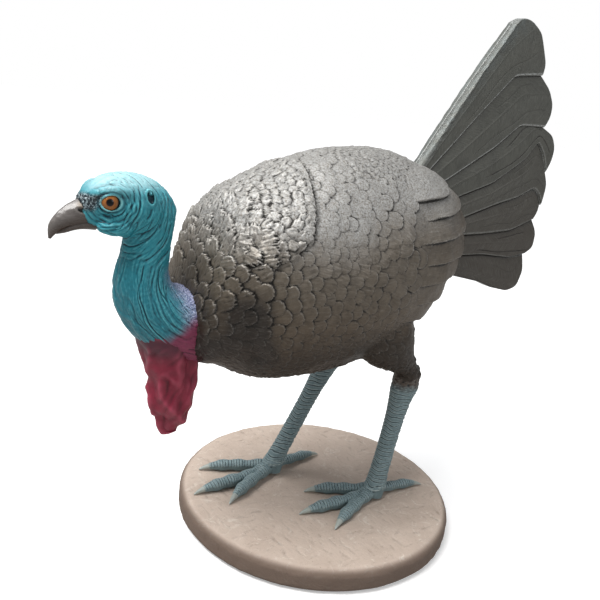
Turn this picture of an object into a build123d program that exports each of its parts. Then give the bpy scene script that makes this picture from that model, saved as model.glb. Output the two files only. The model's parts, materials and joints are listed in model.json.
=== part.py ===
from build123d import *
import os

# Turkey decoy: a life-size brush-turkey cast in hollow shells on a round cement base.
# Millimetres. +Z is up, the bird faces -Y and its left side is +X.
# The origin is the middle of the base underside, where it rests on the ground.

os.makedirs("parts", exist_ok=True)


def save(part, label):
    """Names a finished piece and writes its STEP file."""
    part.label = label
    export_step(part, f"parts/{label}.step")


# ---------------------------------------------------------------- driving sizes
WALL = 4.0                 # thickness of the cast shells
FIT = 0.15                 # clearance round a bar, rod or eye in its hole

BASE_RADIUS = 175.0
BASE_TOP = 30.0            # height the feet stand at
BASE_ROUNDING = 10.0
PAD_HEIGHT = 3.0
PAD_RADIUS = 166.0
POCKET_RADIUS = 132.0
POCKET_TOP = 21.0
PLATE_RADIUS = 126.0
PLATE_THICKNESS = 5.0
PLATE_SCREWS = 6
PLATE_SCREW_CIRCLE = 112.0
SCREW_RADIUS = 2.5
SCREW_LENGTH = 9.0         # threaded length above the underside of the plate
SCREW_HOLE_TOP = BASE_TOP - 4
SCREW_HEAD_RADIUS = 5.0
SCREW_HEAD_HEIGHT = 3.0

ROD_RADIUS = 6.0
ROD_BOTTOM = 4.5
ROD_TOP = 322.0
ROD_BEND = 26.0
NUT_ACROSS_FLATS = 19.0
NUT_HEIGHT = 8.0
WASHER_RADIUS = 12.0
WASHER_THICKNESS = 2.5

FOOT_TOP = 46.0            # the foot casting ends here and the shank begins
HOCK = 197.0               # the shank ends here and the feathered thigh begins
LEG_ACROSS = 0.92          # the legs are a little flattened from side to side
LEG_ALONG = 1.08
# Radius of the shank at each height
SHANK = [(FOOT_TOP, 13.5), (75, 11.2), (120, 11), (165, 13.5), (HOCK, 16.5)]

FOOT_HUB_ACROSS = 16.0     # half sizes of the foot where the toes leave it
FOOT_HUB_ALONG = 19.0
FOOT_SINK = 6.0            # the hub and the toes are drawn from this far under the base top
# Along each toe: height of its middle above the base, and radius
TOE_ROOT = (8.0, 9.5)
TOE_KNUCKLE = (7.0, 7.0)
TOE_END = (5.5, 5.8)
TOE_CLAW_TIP = (1.2, 1.3)
KNUCKLE_SHARE = 0.42       # how far along the toe the knuckle sits
CLAW_LENGTH = 24.0

BODY_HALF_LENGTH = 186.0
BODY_MIDDLE_Y = -32.0
HIP_Y = 38.0
CROSSBAR_BOTTOM = 296.0
CROSSBAR_THICKNESS = 8.0

CROSSBAR_WIDTH = 30.0
CROSSBAR_HALF_LENGTH = 76.0
CROSSBAR_ROUNDING = 6.0
BOLT_RADIUS = 4.0
BOLT_ACROSS_FLATS = 13.0
BOLT_HEAD_HEIGHT = 5.0

SPINE_THICKNESS = 16.0
SPINE_DEPTH = 24.0
SPINE_BOTTOM = CROSSBAR_BOTTOM + CROSSBAR_THICKNESS

BULKHEAD_THICKNESS = 12.0
BREAST_BULKHEAD_Y = -112.0
RUMP_BULKHEAD_Y = 88.0

STRIP_THICKNESS = 2.0
STRIP_HALF_WIDTH = 12.0
BODY_MIDDLE_Z = 340.0
ROOMY = 400.0              # a box side larger than the whole body

NECK_ROD_RADIUS = 5.0
NECK_ROD_HEIGHT = 285.0
NECK_ROD_BEND = 12.0
NECK_ROD_TAIL = 14.0       # the rod's thread stands this far behind the breast bulkhead
NECK_NUT_ACROSS_FLATS = 17.0
NECK_NUT_HEIGHT = 8.0
CORE_THICKNESS = 4.0
FEATHER_THICKNESS = 6.5
BRACKET_LEG = 25.0
BRACKET_LENGTH = 60.0
BRACKET_HEIGHT = 380.0
BRACKET_THICKNESS = 3.0
EYE_RADIUS = 9.0
EYE = (15.8, -301.0, 407.5)

# Each leg lies in one plane of constant X; Y of the foot, the hock and the hip
LEGS = {
    "left": {"x": 57.0, "foot": 53.0, "hock": 78.0,
             "toes": [(10, -25), (48, -60), (92, -39), (66, 133)]},
    "right": {"x": -50.0, "foot": -34.0, "hock": 48.0,
              "toes": [(-8, -125), (-45, -154), (-94, -121), (-59, 51)]},
}

# Body cross-sections from breast to rump: Y, centre height, half width, half height
BODY = [
    (-218, 281, 16, 16),
    (-212, 285, 48, 37),
    (-197, 300, 66, 65),
    (-178, 319, 82, 88),
    (-140, 323, 98, 109),
    (-80, 331, 105, 125),
    (-20, 338, 106, 130),
    (40, 347, 98, 120),
    (85, 355, 83, 98),
    (120, 362, 64, 71),
    (143, 367, 42, 48),
    (154, 370, 14, 16),
]

# Neck and head cross-sections, from the body up and from the nape to the face:
# Y, height, climb of the centre line in degrees, half width, half depth
NECK = [
    (-172, 268, 8, 36, 38),
    (-206, 279, 28, 38, 41),
    (-236, 295, 52, 35, 38),
    (-257, 320, 82, 27, 30),
    (-257, 350, 90, 22, 25),
    (-252, 387, 80, 22, 24),
]
HEAD = [
    (-235, 386, 32, 13, 15),
    (-246, 392, 22, 21, 24),
    (-264, 399, 10, 26, 30),
    (-285, 402, 0, 26, 30),
    (-305, 401, -10, 20, 24),
    (-321, 396, -15, 11, 14),
]

# Wattle cross-sections from its root down: height, Y, half width, half depth
WATTLE = [
    (274, -238, 30, 24),
    (250, -225, 28, 30),
    (222, -219, 25, 27),
    (196, -219, 23, 25),
    (172, -218, 18, 20),
    (150, -217, 7, 8),
]

# Bill cross-sections from the face to the tip
UPPER_BILL = [
    (-316, 395, -15, 11, 13),
    (-327, 392, -20, 8.5, 11),
    (-337, 387, -35, 6.5, 8),
    (-344, 380, -60, 4, 5),
    (-347.5, 371.5, -78, 1, 1.2),
]
LOWER_BILL = [
    (-312, 385, -10, 9.5, 6.5),
    (-325, 383, -16, 7, 4.2),
    (-336, 379, -20, 4.5, 2.8),
    (-342, 376, -24, 1, 0.8),
]

# Borders between the tail feathers, root to tip, top of the fan first (Y, Z)
VANE_LINES = [
    [(78, 430), (94, 453), (166, 556), (222, 631)],
    [(94, 425), (112, 447), (183, 518), (238, 569), (295, 576)],
    [(108, 410), (133, 428), (222, 476), (268, 509), (322, 510)],
    [(126, 396), (164, 410), (236, 432), (293, 465), (315, 491)],
    [(136, 372), (185, 384), (249, 402), (293, 412), (328, 426)],
    [(142, 358), (191, 361), (231, 362), (292, 365), (341, 381)],
    [(142, 336), (186, 333), (239, 333), (300, 326), (336, 330)],
    [(138, 312), (176, 308), (247, 293), (274, 283)],
]
# Rounded tips, from the upper border to where the tip meets the next feather's tip
VANE_TIPS = [
    [(222, 631), (236, 640), (254, 639), (275, 628), (297, 590), (295, 576)],
    [(295, 576), (318, 560), (331, 541), (331, 524), (322, 510)],
    [(322, 510), (345, 500), (356, 483), (355, 465), (347, 449)],
    [(347, 449), (355, 430), (352, 402)],
    [(352, 402), (341, 381)],
    [(341, 381), (353, 362), (353, 339), (336, 330)],
    [(336, 330), (343, 304), (334, 280), (312, 275), (274, 283)],
]
# Tip of a feather that lies over the tip of the feather above it
VANE_LAPS = {
    3: [(315, 491), (334, 472), (347, 449)],
    4: [(328, 426), (344, 416), (352, 402)],
}


# ---------------------------------------------------------------- shared forms
def body_form(inset):
    """The egg-shaped body, drawn in by an inset all round."""
    sections = []
    for y, z, half_width, half_height in BODY:
        along = y - inset * (y - BODY_MIDDLE_Y) / BODY_HALF_LENGTH
        with BuildSketch(Plane(origin=(0, along, z), x_dir=(1, 0, 0), z_dir=(0, 1, 0))) as section:
            Ellipse(half_width - inset, half_height - inset)
        sections.append(section.sketch)
    loft(sections)


def tube_form(stations, inset):
    """A loft through ellipses standing square to a centre line in the middle plane."""
    sections = []
    for y, z, climb, half_width, half_depth in stations:
        heading = Vector(0, -1, 0).rotate(Axis.X, -climb)
        upward = Vector(1, 0, 0).cross(heading)
        with BuildSketch(Plane(origin=(0, y, z), x_dir=upward, z_dir=heading)) as section:
            Ellipse(half_depth - inset, half_width - inset)
        sections.append(section.sketch)
    loft(sections)


def wattle_form():
    """The hanging throat sac."""
    sections = []
    for z, y, half_width, half_depth in WATTLE:
        with BuildSketch(Plane.XY.offset(z)) as section:
            with Locations((0, y)):
                Ellipse(half_width, half_depth)
        sections.append(section.sketch)
    loft(sections)


def leg_rod_form(leg, radius, mode=Mode.ADD):
    """The bent steel rod of one leg, from under the base plate to above the crossbar."""
    with BuildLine(Plane.YZ.offset(leg["x"])) as path:
        FilletPolyline(
            (leg["foot"], ROD_BOTTOM), (leg["foot"], FOOT_TOP - 6),
            (leg["hock"], HOCK + 4), (HIP_Y, CROSSBAR_BOTTOM - 18), (HIP_Y, ROD_TOP),
            radius=ROD_BEND,
        )
    with BuildSketch(Plane(origin=path.line @ 0, z_dir=path.line % 0)) as section:
        Circle(radius)
    sweep(section.sketch, path=path.line, mode=mode)


def neck_rod_form(radius, mode=Mode.ADD):
    """The bent rod that carries the neck, from behind the breast bulkhead into the head."""
    with BuildLine(Plane.YZ) as path:
        FilletPolyline(
            (BREAST_BULKHEAD_Y + BULKHEAD_THICKNESS + NECK_ROD_TAIL, NECK_ROD_HEIGHT),
            (-228, NECK_ROD_HEIGHT), (-256, 335), (-256, 392), (-284, 404),
            radius=NECK_ROD_BEND,
        )
    with BuildSketch(Plane(origin=path.line @ 0, z_dir=path.line % 0)) as section:
        Circle(radius)
    sweep(section.sketch, path=path.line, mode=mode)


def leg_centre(leg, z):
    """Y of the leg's centre line at a height between the foot and the hock."""
    share = (z - FOOT_TOP) / (HOCK - FOOT_TOP)
    return leg["foot"] + (leg["hock"] - leg["foot"]) * share


def tapered_limb(points):
    """Tapered rounds joined by balls; each point is X, Y, Z and radius."""
    for (x0, y0, z0, r0), (x1, y1, z1, r1) in zip(points, points[1:]):
        run = Vector(x1 - x0, y1 - y0, z1 - z0)
        with Locations(Plane(origin=(x0, y0, z0), z_dir=run)):
            Cone(r0, r1, run.length, align=(Align.CENTER, Align.CENTER, Align.MIN))
        with Locations((x1, y1, z1)):
            Sphere(r1)


def core_outline():
    """Flat outline of the plate between the two rows of tail feathers."""
    with BuildLine() as edge:
        Polyline(
            (RUMP_BULKHEAD_Y + BULKHEAD_THICKNESS, 330), (190, 324), (318, 292), (330, 350),
            (333, 440), (322, 500), (300, 560), (268, 612), (226, 622), (130, 494),
            (RUMP_BULKHEAD_Y + BULKHEAD_THICKNESS, 420), close=True,
        )
    make_face(edge.edges())


# ---------------------------------------------------------------- base
with BuildPart() as base_pad:
    Cylinder(PAD_RADIUS, PAD_HEIGHT, align=(Align.CENTER, Align.CENTER, Align.MIN))
save(base_pad.part, "base_pad")

with BuildPart() as base_shell:
    with Locations((0, 0, PAD_HEIGHT)):
        Cylinder(BASE_RADIUS, BASE_TOP - PAD_HEIGHT, align=(Align.CENTER, Align.CENTER, Align.MIN))
    fillet(base_shell.edges().sort_by(Axis.Z)[-1], BASE_ROUNDING)
    fillet(base_shell.edges().sort_by(Axis.Z)[0], BASE_ROUNDING / 2)
    with Locations((0, 0, PAD_HEIGHT)):
        Cylinder(POCKET_RADIUS, POCKET_TOP - PAD_HEIGHT,
                 align=(Align.CENTER, Align.CENTER, Align.MIN), mode=Mode.SUBTRACT)
    for leg in LEGS.values():
        leg_rod_form(leg, ROD_RADIUS + FIT, Mode.SUBTRACT)
    with PolarLocations(PLATE_SCREW_CIRCLE, PLATE_SCREWS):
        Cylinder(SCREW_RADIUS, SCREW_HOLE_TOP, align=(Align.CENTER, Align.CENTER, Align.MIN),
                 mode=Mode.SUBTRACT)
save(base_shell.part, "base_shell")

PLATE_BOTTOM = POCKET_TOP - PLATE_THICKNESS
with BuildPart() as base_plate:
    with Locations((0, 0, PLATE_BOTTOM)):
        Cylinder(PLATE_RADIUS, PLATE_THICKNESS, align=(Align.CENTER, Align.CENTER, Align.MIN))
    for leg in LEGS.values():
        leg_rod_form(leg, ROD_RADIUS + FIT, Mode.SUBTRACT)
    with PolarLocations(PLATE_SCREW_CIRCLE, PLATE_SCREWS):
        Cylinder(SCREW_RADIUS, SCREW_HOLE_TOP, align=(Align.CENTER, Align.CENTER, Align.MIN),
                 mode=Mode.SUBTRACT)
save(base_plate.part, "base_plate")

with BuildPart() as base_plate_screws:
    with PolarLocations(PLATE_SCREW_CIRCLE, PLATE_SCREWS):
        with Locations((0, 0, PLATE_BOTTOM - SCREW_HEAD_HEIGHT)):
            Cylinder(SCREW_HEAD_RADIUS, SCREW_HEAD_HEIGHT,
                     align=(Align.CENTER, Align.CENTER, Align.MIN))
        with Locations((0, 0, PLATE_BOTTOM)):
            Cylinder(SCREW_RADIUS, SCREW_LENGTH, align=(Align.CENTER, Align.CENTER, Align.MIN))
save(base_plate_screws.part, "base_plate_screws")

WASHER_BOTTOM = PLATE_BOTTOM - WASHER_THICKNESS
with BuildPart() as leg_rod_washers:
    for leg in LEGS.values():
        with Locations((leg["x"], leg["foot"], WASHER_BOTTOM)):
            Cylinder(WASHER_RADIUS, WASHER_THICKNESS, align=(Align.CENTER, Align.CENTER, Align.MIN))
            Cylinder(ROD_RADIUS + FIT, WASHER_THICKNESS,
                     align=(Align.CENTER, Align.CENTER, Align.MIN), mode=Mode.SUBTRACT)
save(leg_rod_washers.part, "leg_rod_washers")

with BuildPart() as leg_rod_nuts:
    for leg in LEGS.values():
        for bottom in (WASHER_BOTTOM - NUT_HEIGHT, CROSSBAR_BOTTOM - NUT_HEIGHT,
                       CROSSBAR_BOTTOM + CROSSBAR_THICKNESS):
            along = leg["foot"] if bottom < BASE_TOP else HIP_Y
            with BuildSketch(Plane.XY.offset(bottom)):
                with Locations((leg["x"], along)):
                    RegularPolygon(NUT_ACROSS_FLATS / 2, 6, major_radius=False)
                    Circle(ROD_RADIUS, mode=Mode.SUBTRACT)
            extrude(amount=NUT_HEIGHT)
save(leg_rod_nuts.part, "leg_rod_nuts")


# ---------------------------------------------------------------- legs
for side, leg in LEGS.items():
    with BuildPart() as leg_rod:
        leg_rod_form(leg, ROD_RADIUS)
    save(leg_rod.part, f"{side}_leg_rod")

    with BuildPart() as shank:
        for z, radius in SHANK:
            with BuildSketch(Plane.XY.offset(z)):
                with Locations((leg["x"], leg_centre(leg, z))):
                    Ellipse(radius * LEG_ACROSS, radius * LEG_ALONG)
        loft()
        leg_rod_form(leg, ROD_RADIUS + FIT, Mode.SUBTRACT)
    save(shank.part, f"{side}_shank")

    with BuildPart() as foot:
        hub = (leg["x"], leg["foot"])
        with BuildSketch(Plane.XY.offset(FOOT_TOP)):
            with Locations(hub):
                Ellipse(SHANK[0][1] * LEG_ACROSS, SHANK[0][1] * LEG_ALONG)
        with BuildSketch(Plane.XY.offset(BASE_TOP - FOOT_SINK)):
            with Locations(hub):
                Ellipse(FOOT_HUB_ACROSS, FOOT_HUB_ALONG)
        loft()
        for tip in leg["toes"]:
            reach = Vector(tip[0] - hub[0], tip[1] - hub[1])
            claw = reach - reach.normalized() * CLAW_LENGTH
            knuckle = reach * KNUCKLE_SHARE
            tapered_limb([
                (hub[0], hub[1], BASE_TOP + TOE_ROOT[0], TOE_ROOT[1]),
                (hub[0] + knuckle.X, hub[1] + knuckle.Y, BASE_TOP + TOE_KNUCKLE[0], TOE_KNUCKLE[1]),
                (hub[0] + claw.X, hub[1] + claw.Y, BASE_TOP + TOE_END[0], TOE_END[1]),
                (tip[0], tip[1], BASE_TOP + TOE_CLAW_TIP[0], TOE_CLAW_TIP[1]),
            ])
        split(bisect_by=Plane.XY.offset(BASE_TOP), keep=Keep.TOP)
        split(bisect_by=Plane.XY.offset(FOOT_TOP), keep=Keep.BOTTOM)
        leg_rod_form(leg, ROD_RADIUS + FIT, Mode.SUBTRACT)
    save(foot.part, f"{side}_foot")

# ---------------------------------------------------------------- body
with BuildPart() as body_outer:
    body_form(0)

with BuildPart() as neck_outer:
    tube_form(NECK, 0)
    tube_form(HEAD, 0)

for side, leg in LEGS.items():
    with BuildPart() as thigh:
        for z, y, across, along in ((HOCK, leg["hock"], 15.2, 17.8),
                                    (212, 0.6 * leg["hock"] + 0.4 * HIP_Y, 18, 27),
                                    (226, 0.1 * leg["hock"] + 0.9 * HIP_Y, 25, 37),
                                    (246, HIP_Y - 4, 29, 38), (290, HIP_Y - 6, 24, 28)):
            with BuildSketch(Plane.XY.offset(z)):
                with Locations((leg["x"], y)):
                    Ellipse(across, along)
        loft()
        add(body_outer.part, mode=Mode.SUBTRACT)
        leg_rod_form(leg, ROD_RADIUS + FIT, Mode.SUBTRACT)
    save(thigh.part, f"{side}_thigh")

with BuildPart() as body_cavity:
    body_form(WALL)

for side, keep in (("left", Keep.TOP), ("right", Keep.BOTTOM)):
    with BuildPart() as body_shell:
        add(body_outer.part)
        add(body_cavity.part, mode=Mode.SUBTRACT)
        add(neck_outer.part, mode=Mode.SUBTRACT)
        for leg in LEGS.values():
            leg_rod_form(leg, ROD_RADIUS + FIT, Mode.SUBTRACT)
        with BuildSketch(Plane.YZ.offset(-CORE_THICKNESS / 2)):
            core_outline()
        extrude(amount=CORE_THICKNESS, mode=Mode.SUBTRACT)
        split(bisect_by=Plane.YZ, keep=keep)
    save(body_shell.part, f"body_shell_{side}")

# The strip glued inside along the seam between the two body halves
with BuildPart() as body_seam_strip:
    body_form(WALL)
    with BuildPart(mode=Mode.PRIVATE) as hollow:
        body_form(WALL + STRIP_THICKNESS)
    add(hollow.part, mode=Mode.SUBTRACT)
    add(neck_outer.part, mode=Mode.SUBTRACT)
    with Locations((0, 0, BODY_MIDDLE_Z)):
        Box(2 * STRIP_HALF_WIDTH, ROOMY, ROOMY, mode=Mode.INTERSECT)
    with BuildSketch(Plane.YZ.offset(-CORE_THICKNESS / 2 - FIT)):
        core_outline()
    extrude(amount=CORE_THICKNESS + 2 * FIT, mode=Mode.SUBTRACT)
save(body_seam_strip.part, "body_seam_strip")

# ---------------------------------------------------------------- inner frame
SPINE_FRONT = BREAST_BULKHEAD_Y + BULKHEAD_THICKNESS
with BuildPart() as spine_bar:
    with Locations((0, SPINE_FRONT, SPINE_BOTTOM)):
        Box(SPINE_THICKNESS, RUMP_BULKHEAD_Y - SPINE_FRONT, SPINE_DEPTH,
            align=(Align.CENTER, Align.MIN, Align.MIN))
    with Locations((0, HIP_Y, SPINE_BOTTOM)):
        Cylinder(BOLT_RADIUS, SPINE_DEPTH, align=(Align.CENTER, Align.CENTER, Align.MIN),
                 mode=Mode.SUBTRACT)
save(spine_bar.part, "spine_bar")

with BuildPart() as hip_crossbar:
    with Locations((0, HIP_Y, CROSSBAR_BOTTOM)):
        Box(2 * CROSSBAR_HALF_LENGTH, CROSSBAR_WIDTH, CROSSBAR_THICKNESS,
            align=(Align.CENTER, Align.CENTER, Align.MIN))
        Cylinder(BOLT_RADIUS, CROSSBAR_THICKNESS, align=(Align.CENTER, Align.CENTER, Align.MIN),
                 mode=Mode.SUBTRACT)
    for leg in LEGS.values():
        leg_rod_form(leg, ROD_RADIUS + FIT, Mode.SUBTRACT)
    fillet(hip_crossbar.edges().filter_by(Axis.Z).group_by(Axis.X)[0], CROSSBAR_ROUNDING)
    fillet(hip_crossbar.edges().filter_by(Axis.Z).group_by(Axis.X)[-1], CROSSBAR_ROUNDING)
save(hip_crossbar.part, "hip_crossbar")

with BuildPart() as spine_bolt:
    with Locations((0, HIP_Y, CROSSBAR_BOTTOM)):
        Cylinder(BOLT_RADIUS, CROSSBAR_THICKNESS + SPINE_DEPTH,
                 align=(Align.CENTER, Align.CENTER, Align.MIN))
    for bottom in (CROSSBAR_BOTTOM - BOLT_HEAD_HEIGHT, SPINE_BOTTOM + SPINE_DEPTH):
        with BuildSketch(Plane.XY.offset(bottom)):
            with Locations((0, HIP_Y)):
                RegularPolygon(BOLT_ACROSS_FLATS / 2, 6, major_radius=False)
        extrude(amount=BOLT_HEAD_HEIGHT)
save(spine_bolt.part, "spine_bolt")

for label, front in (("breast_bulkhead", BREAST_BULKHEAD_Y), ("rump_bulkhead", RUMP_BULKHEAD_Y)):
    with BuildPart() as bulkhead:
        body_form(WALL + STRIP_THICKNESS + FIT)
        with Locations((0, front, BODY_MIDDLE_Z)):
            Box(ROOMY, BULKHEAD_THICKNESS, ROOMY, align=(Align.CENTER, Align.MIN, Align.CENTER),
                mode=Mode.INTERSECT)
        if label == "breast_bulkhead":
            with Locations((0, front, NECK_ROD_HEIGHT)):
                with Locations(Rotation(90, 0, 0)):
                    Cylinder(NECK_ROD_RADIUS + FIT, 60, mode=Mode.SUBTRACT)
    save(bulkhead.part, label)

# ---------------------------------------------------------------- neck and head
def eye_form(x, mode):
    """One eyeball, its seam line turned to the middle of the head so that both sockets cut alike."""
    turn = 180 if x > 0 else 0
    with Locations(Location((x, EYE[1], EYE[2]), (0, 0, turn))):
        Sphere(EYE_RADIUS, mode=mode)


with BuildPart() as head_neck_shell:
    add(neck_outer.part)
    with BuildPart(mode=Mode.PRIVATE) as hollow:
        tube_form(NECK, WALL)
    add(hollow.part, mode=Mode.SUBTRACT)
    neck_rod_form(NECK_ROD_RADIUS + FIT, Mode.SUBTRACT)
    for x in (-EYE[0], EYE[0]):
        eye_form(x, Mode.SUBTRACT)
save(head_neck_shell.part, "head_neck_shell")

for side, x in (("left", EYE[0]), ("right", -EYE[0])):
    with BuildPart() as eye:
        eye_form(x, Mode.ADD)
    save(eye.part, f"{side}_eye")

with BuildPart() as lower_bill:
    tube_form(LOWER_BILL, 0)
    add(neck_outer.part, mode=Mode.SUBTRACT)

with BuildPart() as upper_bill:
    tube_form(UPPER_BILL, 0)
    add(neck_outer.part, mode=Mode.SUBTRACT)
    add(lower_bill.part, mode=Mode.SUBTRACT)
save(lower_bill.part, "lower_bill")
save(upper_bill.part, "upper_bill")

with BuildPart() as wattle:
    wattle_form()
    add(neck_outer.part, mode=Mode.SUBTRACT)
    add(body_outer.part, mode=Mode.SUBTRACT)
save(wattle.part, "wattle")

with BuildPart() as neck_rod:
    neck_rod_form(NECK_ROD_RADIUS)
save(neck_rod.part, "neck_rod")

with BuildPart() as neck_rod_nuts:
    for start in (BREAST_BULKHEAD_Y - NECK_NUT_HEIGHT, BREAST_BULKHEAD_Y + BULKHEAD_THICKNESS):
        with BuildSketch(Plane.XZ.offset(-start)):
            with Locations((0, NECK_ROD_HEIGHT)):
                RegularPolygon(NECK_NUT_ACROSS_FLATS / 2, 6, major_radius=False)
                Circle(NECK_ROD_RADIUS, mode=Mode.SUBTRACT)
        extrude(amount=-NECK_NUT_HEIGHT)
save(neck_rod_nuts.part, "neck_rod_nuts")

# ---------------------------------------------------------------- tail
def vane_outline(number):
    """Closed outline of one tail feather where it shows in the fan."""
    upper, lower = VANE_LINES[number], VANE_LINES[number + 1]
    with BuildLine() as edge:
        Polyline(*upper)
        lap = VANE_LAPS.get(number)
        if lap:
            Polyline(*lap)
        next_lap = VANE_LAPS.get(number + 1)
        if next_lap:
            Polyline(*reversed(next_lap))
        Polyline(*VANE_TIPS[number])
        Polyline(*reversed(lower))
        Line(lower[0], upper[0])
    make_face(edge.edges())


with BuildPart() as tail_core:
    with BuildSketch(Plane.YZ.offset(-CORE_THICKNESS / 2)):
        core_outline()
    extrude(amount=CORE_THICKNESS)
save(tail_core.part, "tail_core")

BRACKET_Y = RUMP_BULKHEAD_Y + BULKHEAD_THICKNESS
with BuildPart() as tail_brackets:
    for x, align in ((CORE_THICKNESS / 2, Align.MIN), (-CORE_THICKNESS / 2, Align.MAX)):
        with Locations((x, BRACKET_Y, BRACKET_HEIGHT)):
            Box(BRACKET_LEG, BRACKET_THICKNESS, BRACKET_LENGTH, align=(align, Align.MIN, Align.CENTER))
            Box(BRACKET_THICKNESS, BRACKET_LEG, BRACKET_LENGTH, align=(align, Align.MIN, Align.CENTER))
save(tail_brackets.part, "tail_brackets")

for side, start in (("left", CORE_THICKNESS / 2), ("right", -CORE_THICKNESS / 2 - FEATHER_THICKNESS)):
    for number in range(len(VANE_TIPS)):
        with BuildPart() as feather:
            with BuildSketch(Plane.YZ.offset(start)):
                vane_outline(number)
            extrude(amount=FEATHER_THICKNESS)
            add(body_outer.part, mode=Mode.SUBTRACT)
        save(feather.part, f"tail_feather_{side}_{number + 1}")
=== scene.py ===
"""Painted cast brush-turkey decoy: the looks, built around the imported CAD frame. Lengths in mm."""
import json
import math

import bmesh
import bpy
import numpy as np
from mathutils import Matrix, Vector, kdtree


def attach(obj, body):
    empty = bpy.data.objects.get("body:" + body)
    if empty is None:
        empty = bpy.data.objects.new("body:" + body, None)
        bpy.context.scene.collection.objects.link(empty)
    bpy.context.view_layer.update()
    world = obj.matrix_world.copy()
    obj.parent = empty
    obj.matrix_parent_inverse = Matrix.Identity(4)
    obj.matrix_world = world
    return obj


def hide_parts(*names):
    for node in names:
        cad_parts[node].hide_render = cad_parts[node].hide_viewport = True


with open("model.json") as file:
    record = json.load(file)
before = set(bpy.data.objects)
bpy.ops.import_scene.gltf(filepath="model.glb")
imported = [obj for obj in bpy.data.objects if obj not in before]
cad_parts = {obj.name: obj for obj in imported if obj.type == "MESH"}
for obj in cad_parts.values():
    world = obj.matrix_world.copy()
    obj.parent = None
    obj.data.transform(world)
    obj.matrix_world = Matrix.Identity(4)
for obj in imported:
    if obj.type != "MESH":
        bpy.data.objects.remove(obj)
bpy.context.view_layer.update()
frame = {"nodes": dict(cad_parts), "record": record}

MM = 0.001
UP = np.array([0.0, 0.0, 1.0])

# ---------------------------------------------------------------- driving dimensions
# Body sections (Y, middle Z, half width, half height)
BODY = [
    (-218, 281, 16, 16), (-212, 285, 48, 37), (-197, 300, 66, 65), (-178, 319, 82, 88), (-140, 323, 98, 109),
    (-80, 331, 105, 125), (-20, 338, 106, 130), (40, 347, 98, 120), (85, 355, 83, 98),
    (120, 362, 64, 71), (143, 367, 42, 48), (154, 370, 14, 16),
]
# Neck and head sections (Y, Z, climb of the centre line in degrees, half width, half depth)
NECK = [
    (-172, 268, 8, 36, 38), (-206, 279, 28, 38, 41), (-236, 295, 52, 35, 38), (-257, 320, 82, 27, 30),
    (-257, 350, 90, 22, 25), (-252, 387, 80, 22, 24),
]
HEAD = [
    (-235, 386, 32, 13, 15), (-246, 392, 22, 21, 24), (-264, 399, 10, 26, 30),
    (-285, 402, 0, 26, 30), (-305, 401, -10, 20, 24), (-321, 396, -15, 11, 14),
]
UPPER_BILL = [
    (-312, 396, -15, 11.5, 13.5), (-327, 392, -20, 8.5, 11), (-337, 387, -35, 6.5, 8),
    (-344, 380, -60, 4, 5), (-347.5, 371.5, -78, 1, 1.2),
]
LOWER_BILL = [
    (-309, 385, -10, 10, 6.5), (-325, 383, -16, 7, 4.2), (-336, 379, -20, 4.5, 2.8), (-342, 376, -24, 1, 0.8),
]
# Wattle sections (Z, Y, half width, half depth)
WATTLE = [
    (274, -238, 30, 24), (250, -225, 28, 30), (222, -219, 25, 27), (196, -219, 23, 25),
    (172, -218, 18, 20), (152, -217, 8, 9),
]
EYE = np.array([14.8, -301.0, 407.5])
EYE_RADIUS = 10.2
LID = np.array([9.5, 7.2])                 # half sizes of the ring of lid skin
EYE_OPENING = np.array([8.3, 6.5])         # half sizes of the opening between the lids
EAR = np.array([25.0, -265.0, 413.0])
EAR_OPENING = np.array([3.6, 6.8])
NOSTRIL = np.array([9.0, -322.0, 399.0])
COLLAR = np.array([0.0, -238.0, 286.0])
THROAT = (-203.0, 326.0)                   # the neck's lower creases run round this point (Y, Z)

LEGS = {
    "left": dict(x=57, foot=53, hock=78, toes=[(10, -25), (48, -60), (92, -39)], hallux=(66, 133)),
    "right": dict(x=-50, foot=-34, hock=48, toes=[(-8, -125), (-45, -154), (-94, -121)], hallux=(-59, 51)),
}
FOOT_TOP, HOCK = 46, 197
SHANK = [(46, 13.5), (56, 12.2), (75, 11.2), (120, 11.0), (150, 12.2), (172, 14.6), (186, 16.2), (199, 16.4)]
SHANK_ACROSS, SHANK_ALONG = 0.92, 1.08     # the legs are a little flattened from side to side
BASE_TOP, BASE_RADIUS, BASE_BOTTOM, POCKET_RADIUS, POCKET_TOP = 30, 175, 3, 132, 21
TOP_ROUNDING, BOTTOM_ROUNDING = 10, 5

# Borders between the tail feathers, root to tip, top of the fan first (Y, Z)
VANE_LINES = [
    [(78, 430), (94, 453), (166, 556), (222, 631)],
    [(94, 425), (112, 447), (183, 518), (238, 569), (295, 576)],
    [(108, 410), (133, 428), (222, 476), (268, 509), (322, 510)],
    [(126, 396), (164, 410), (236, 432), (293, 465), (315, 491)],
    [(136, 372), (185, 384), (249, 402), (293, 412), (328, 426)],
    [(142, 358), (191, 361), (231, 362), (292, 365), (341, 381)],
    [(142, 336), (186, 333), (239, 333), (300, 326), (336, 330)],
    [(138, 312), (176, 308), (247, 293), (274, 283)],
]
# Rounded tips, from the upper border to where the tip meets the next vane's tip
VANE_TIPS = [
    [(222, 631), (236, 640), (254, 639), (275, 628), (297, 590), (295, 576)],
    [(295, 576), (318, 560), (331, 541), (331, 524), (322, 510)],
    [(322, 510), (345, 500), (356, 483), (355, 465), (347, 449)],
    [(347, 449), (355, 430), (352, 402)],
    [(352, 402), (341, 381)],
    [(341, 381), (353, 362), (353, 339), (336, 330)],
    [(336, 330), (343, 304), (334, 280), (312, 275), (274, 283)],
]
# Points added to the upper border of a vane whose tip lies over the tip above it
VANE_LAPS = {3: [(334, 472), (347, 449)], 4: [(344, 416), (352, 402)]}
CORE_HALF, FEATHER_THICKNESS = 2.0, 6.5
VANE_STEPS = 200           # rows along each vane
VANE_SHAFT = 0.40          # where the shaft runs, from the upper border to the lower

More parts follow.
